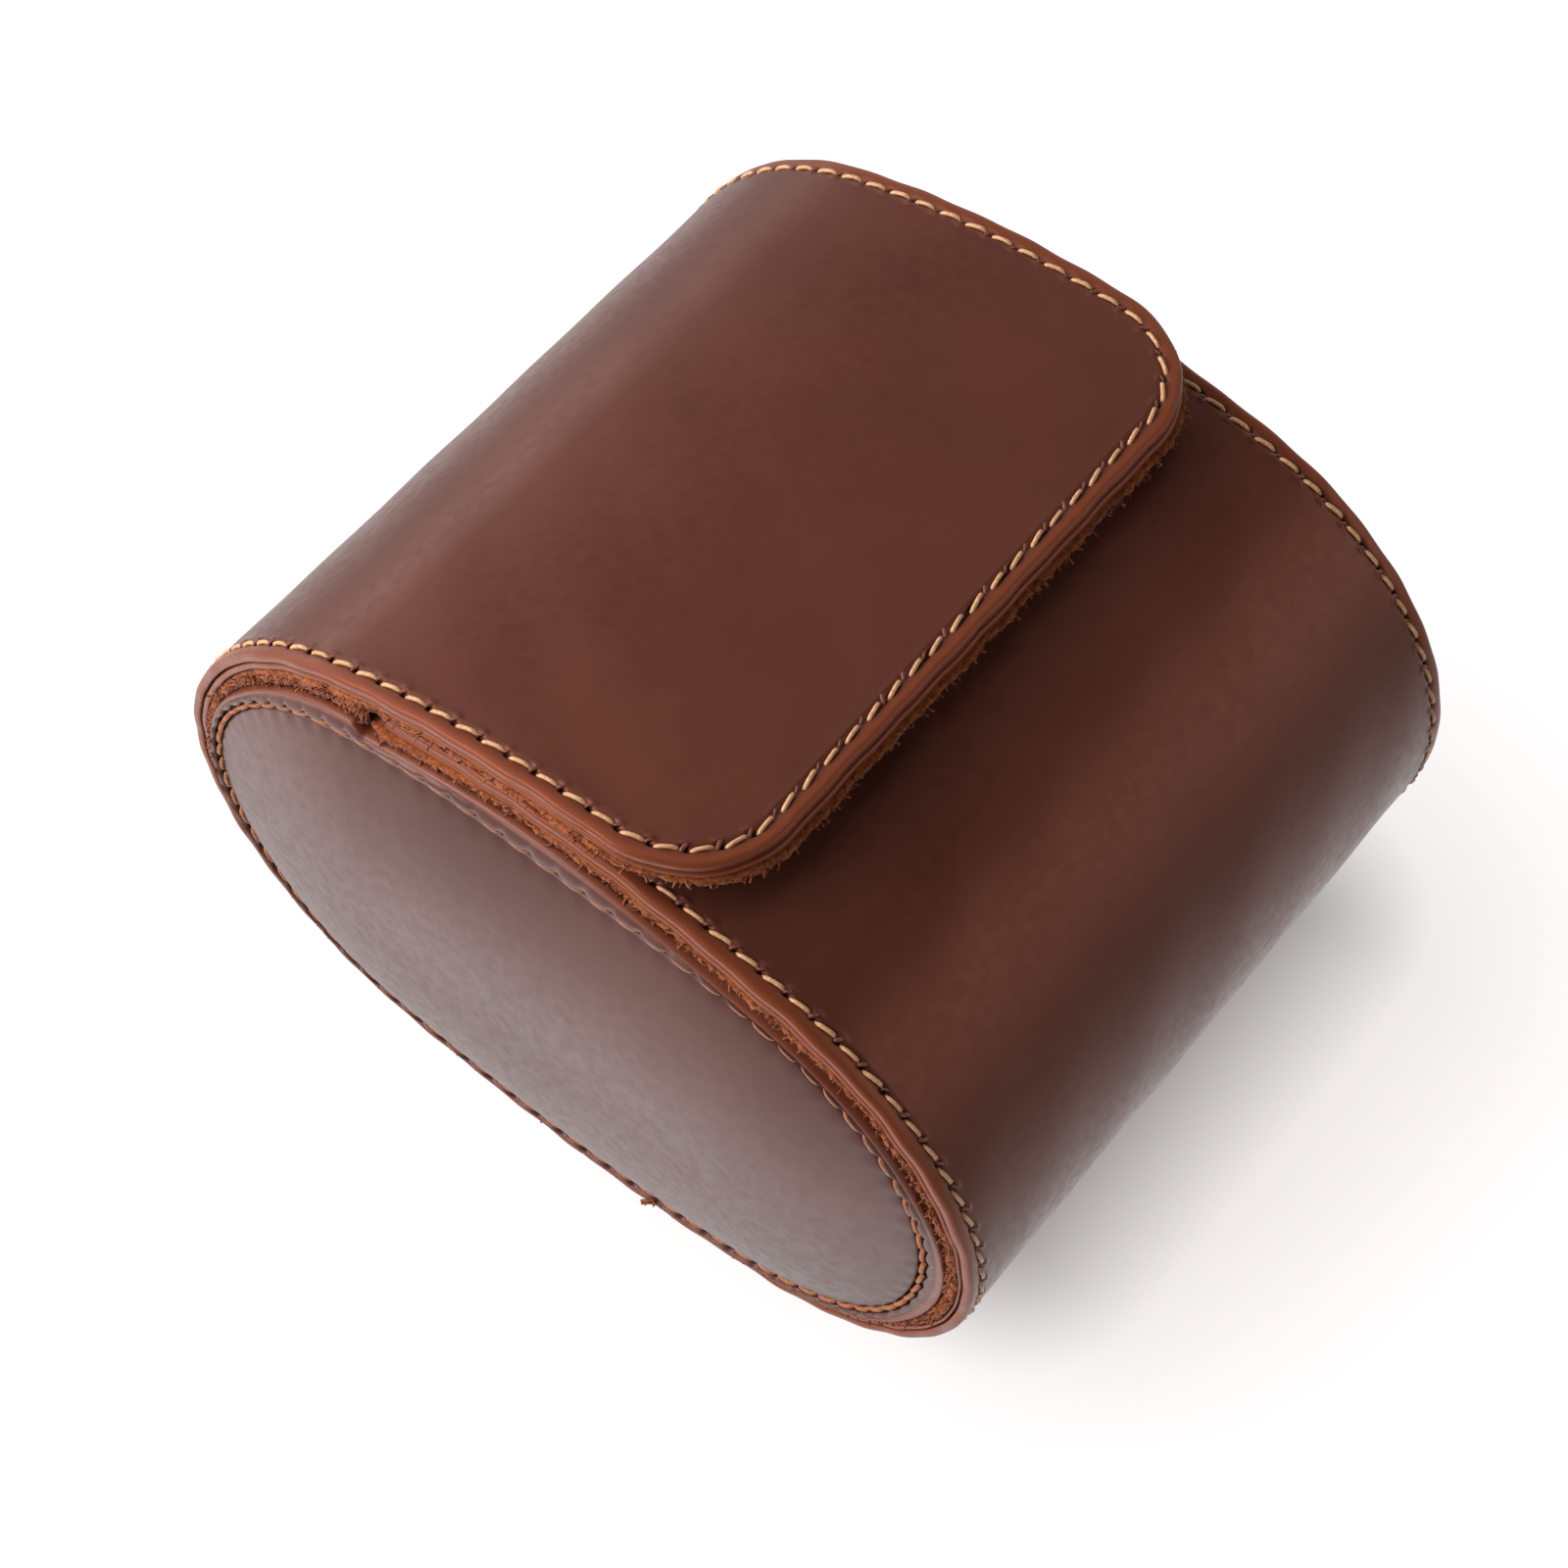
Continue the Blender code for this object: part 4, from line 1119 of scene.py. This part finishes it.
def paper_sweep():
    """Paper that keeps the roll's shadow near it and is white to the camera further off."""
    made = bpy.data.materials.new("white_paper_sweep")
    made.use_nodes = True
    made.node_tree.nodes.clear()
    add = adder(made.node_tree)
    place = add("ShaderNodeTexCoord", out="Object")
    rays = add("ShaderNodeLightPath").node.outputs
    off = add(VECTOR_MATH, place, SHADE_MIDDLE, operation="SUBTRACT")
    off = add(VECTOR_MATH, off, operation="ABSOLUTE")
    off = add(VECTOR_MATH, off, SHADE_HALF, operation="SUBTRACT")
    off = add(VECTOR_MATH, off, (0, 0, 0), operation="MAXIMUM")
    off = add(VECTOR_MATH, off, operation="LENGTH")
    white = add(MATH, add(RANGE, off, 1 * MM, 20 * MM, 0.18, 0.66),
                add(RANGE, off, 20 * MM, 85 * MM, 0.0, 0.31), operation="ADD")
    white = add(MATH, rays["Is Camera Ray"], white, operation="MULTIPLY")
    # Where the glow is weak, its pink tint colours the shadow as painted bounce light.
    seen = add("ShaderNodeMixShader", white, add("ShaderNodeBsdfDiffuse", PAPER_WHITE),
               add("ShaderNodeEmission", GLOW_TINT_AS_PAINTED_BOUNCE, GLOW_LEVEL))
    away, left = add(VECTOR_MATH, place, operation="LENGTH"), add(SPLIT, place)
    level = add(RANGE, away, 100 * MM, 340 * MM, 1.0, 0.52)
    for ramp in ((-50 * MM, -80 * MM, 1.0, 2.0), (-90 * MM, -220 * MM, 1.0, 0.6)):
        level = add(MATH, level, add(RANGE, left, *ramp), operation="MULTIPLY")
    mirror = add("ShaderNodeEmission", (1, 1, 1, 1), level)
    add("ShaderNodeOutputMaterial", add("ShaderNodeMixShader", rays["Is Glossy Ray"], seen, mirror))
    return made


def pale_room():
    """A world that is white to the camera, faint as fill, and a bright wall and ceiling in the gloss."""
    world = bpy.data.worlds.new("pale_room")
    bpy.context.scene.world = world
    world.use_nodes = True
    world.node_tree.nodes.clear()
    add = adder(world.node_tree)
    way = add("ShaderNodeTexCoord", out="Generated")
    rays = add("ShaderNodeLightPath").node.outputs
    parts = add(SPLIT, way).node.outputs
    ceiling = add(RANGE, parts["Y"], 0.55, 0.10, 0.0, CEILING_LEVEL)
    for source, low, high in ((parts["Y"], -0.02, 0.08), (parts["Z"], 0.55, 0.70)):
        ceiling = add(MATH, ceiling, add(RANGE, source, low, high), operation="MULTIPLY")
    rise = add(VECTOR_MATH, way, (-0.45, 0.25, 1.0), operation="DOT_PRODUCT")
    wall = add(RANGE, rise, 0.50, 0.22, 0.0, WALL_LEVEL)
    mirrored = add(MATH, wall, ceiling, operation="ADD")
    level = add(MIX, rays["Is Glossy Ray"], FILL_LEVEL, mirrored, data_type="FLOAT")
    seen = add(MATH, rays["Is Camera Ray"], rays["Is Transmission Ray"], operation="MAXIMUM")
    level = add(MIX, seen, level, 1.0, data_type="FLOAT")
    add("ShaderNodeOutputWorld", add("ShaderNodeBackground", (1, 1, 1, 1), level))


floor = put("floor", bpy.data.meshes.new("floor"))
floor.data.from_pydata([(x, y, 0) for x, y in FLOOR_CORNERS], [], [(0, 1, 2, 3)])
floor.data.materials.append(paper_sweep())
for name, (place, size, power) in LAMPS.items():
    lamp = put(name, bpy.data.lights.new(name, "AREA"))
    lamp.data.shape, lamp.data.energy = "RECTANGLE", power
    lamp.data.size, lamp.data.size_y = size
    lamp.location = place
    lamp.rotation_euler = (ROLL_MIDDLE - lamp.location).to_track_quat("-Z", "Y").to_euler()
pale_room()
bpy.context.scene.view_settings.view_transform = "Standard"
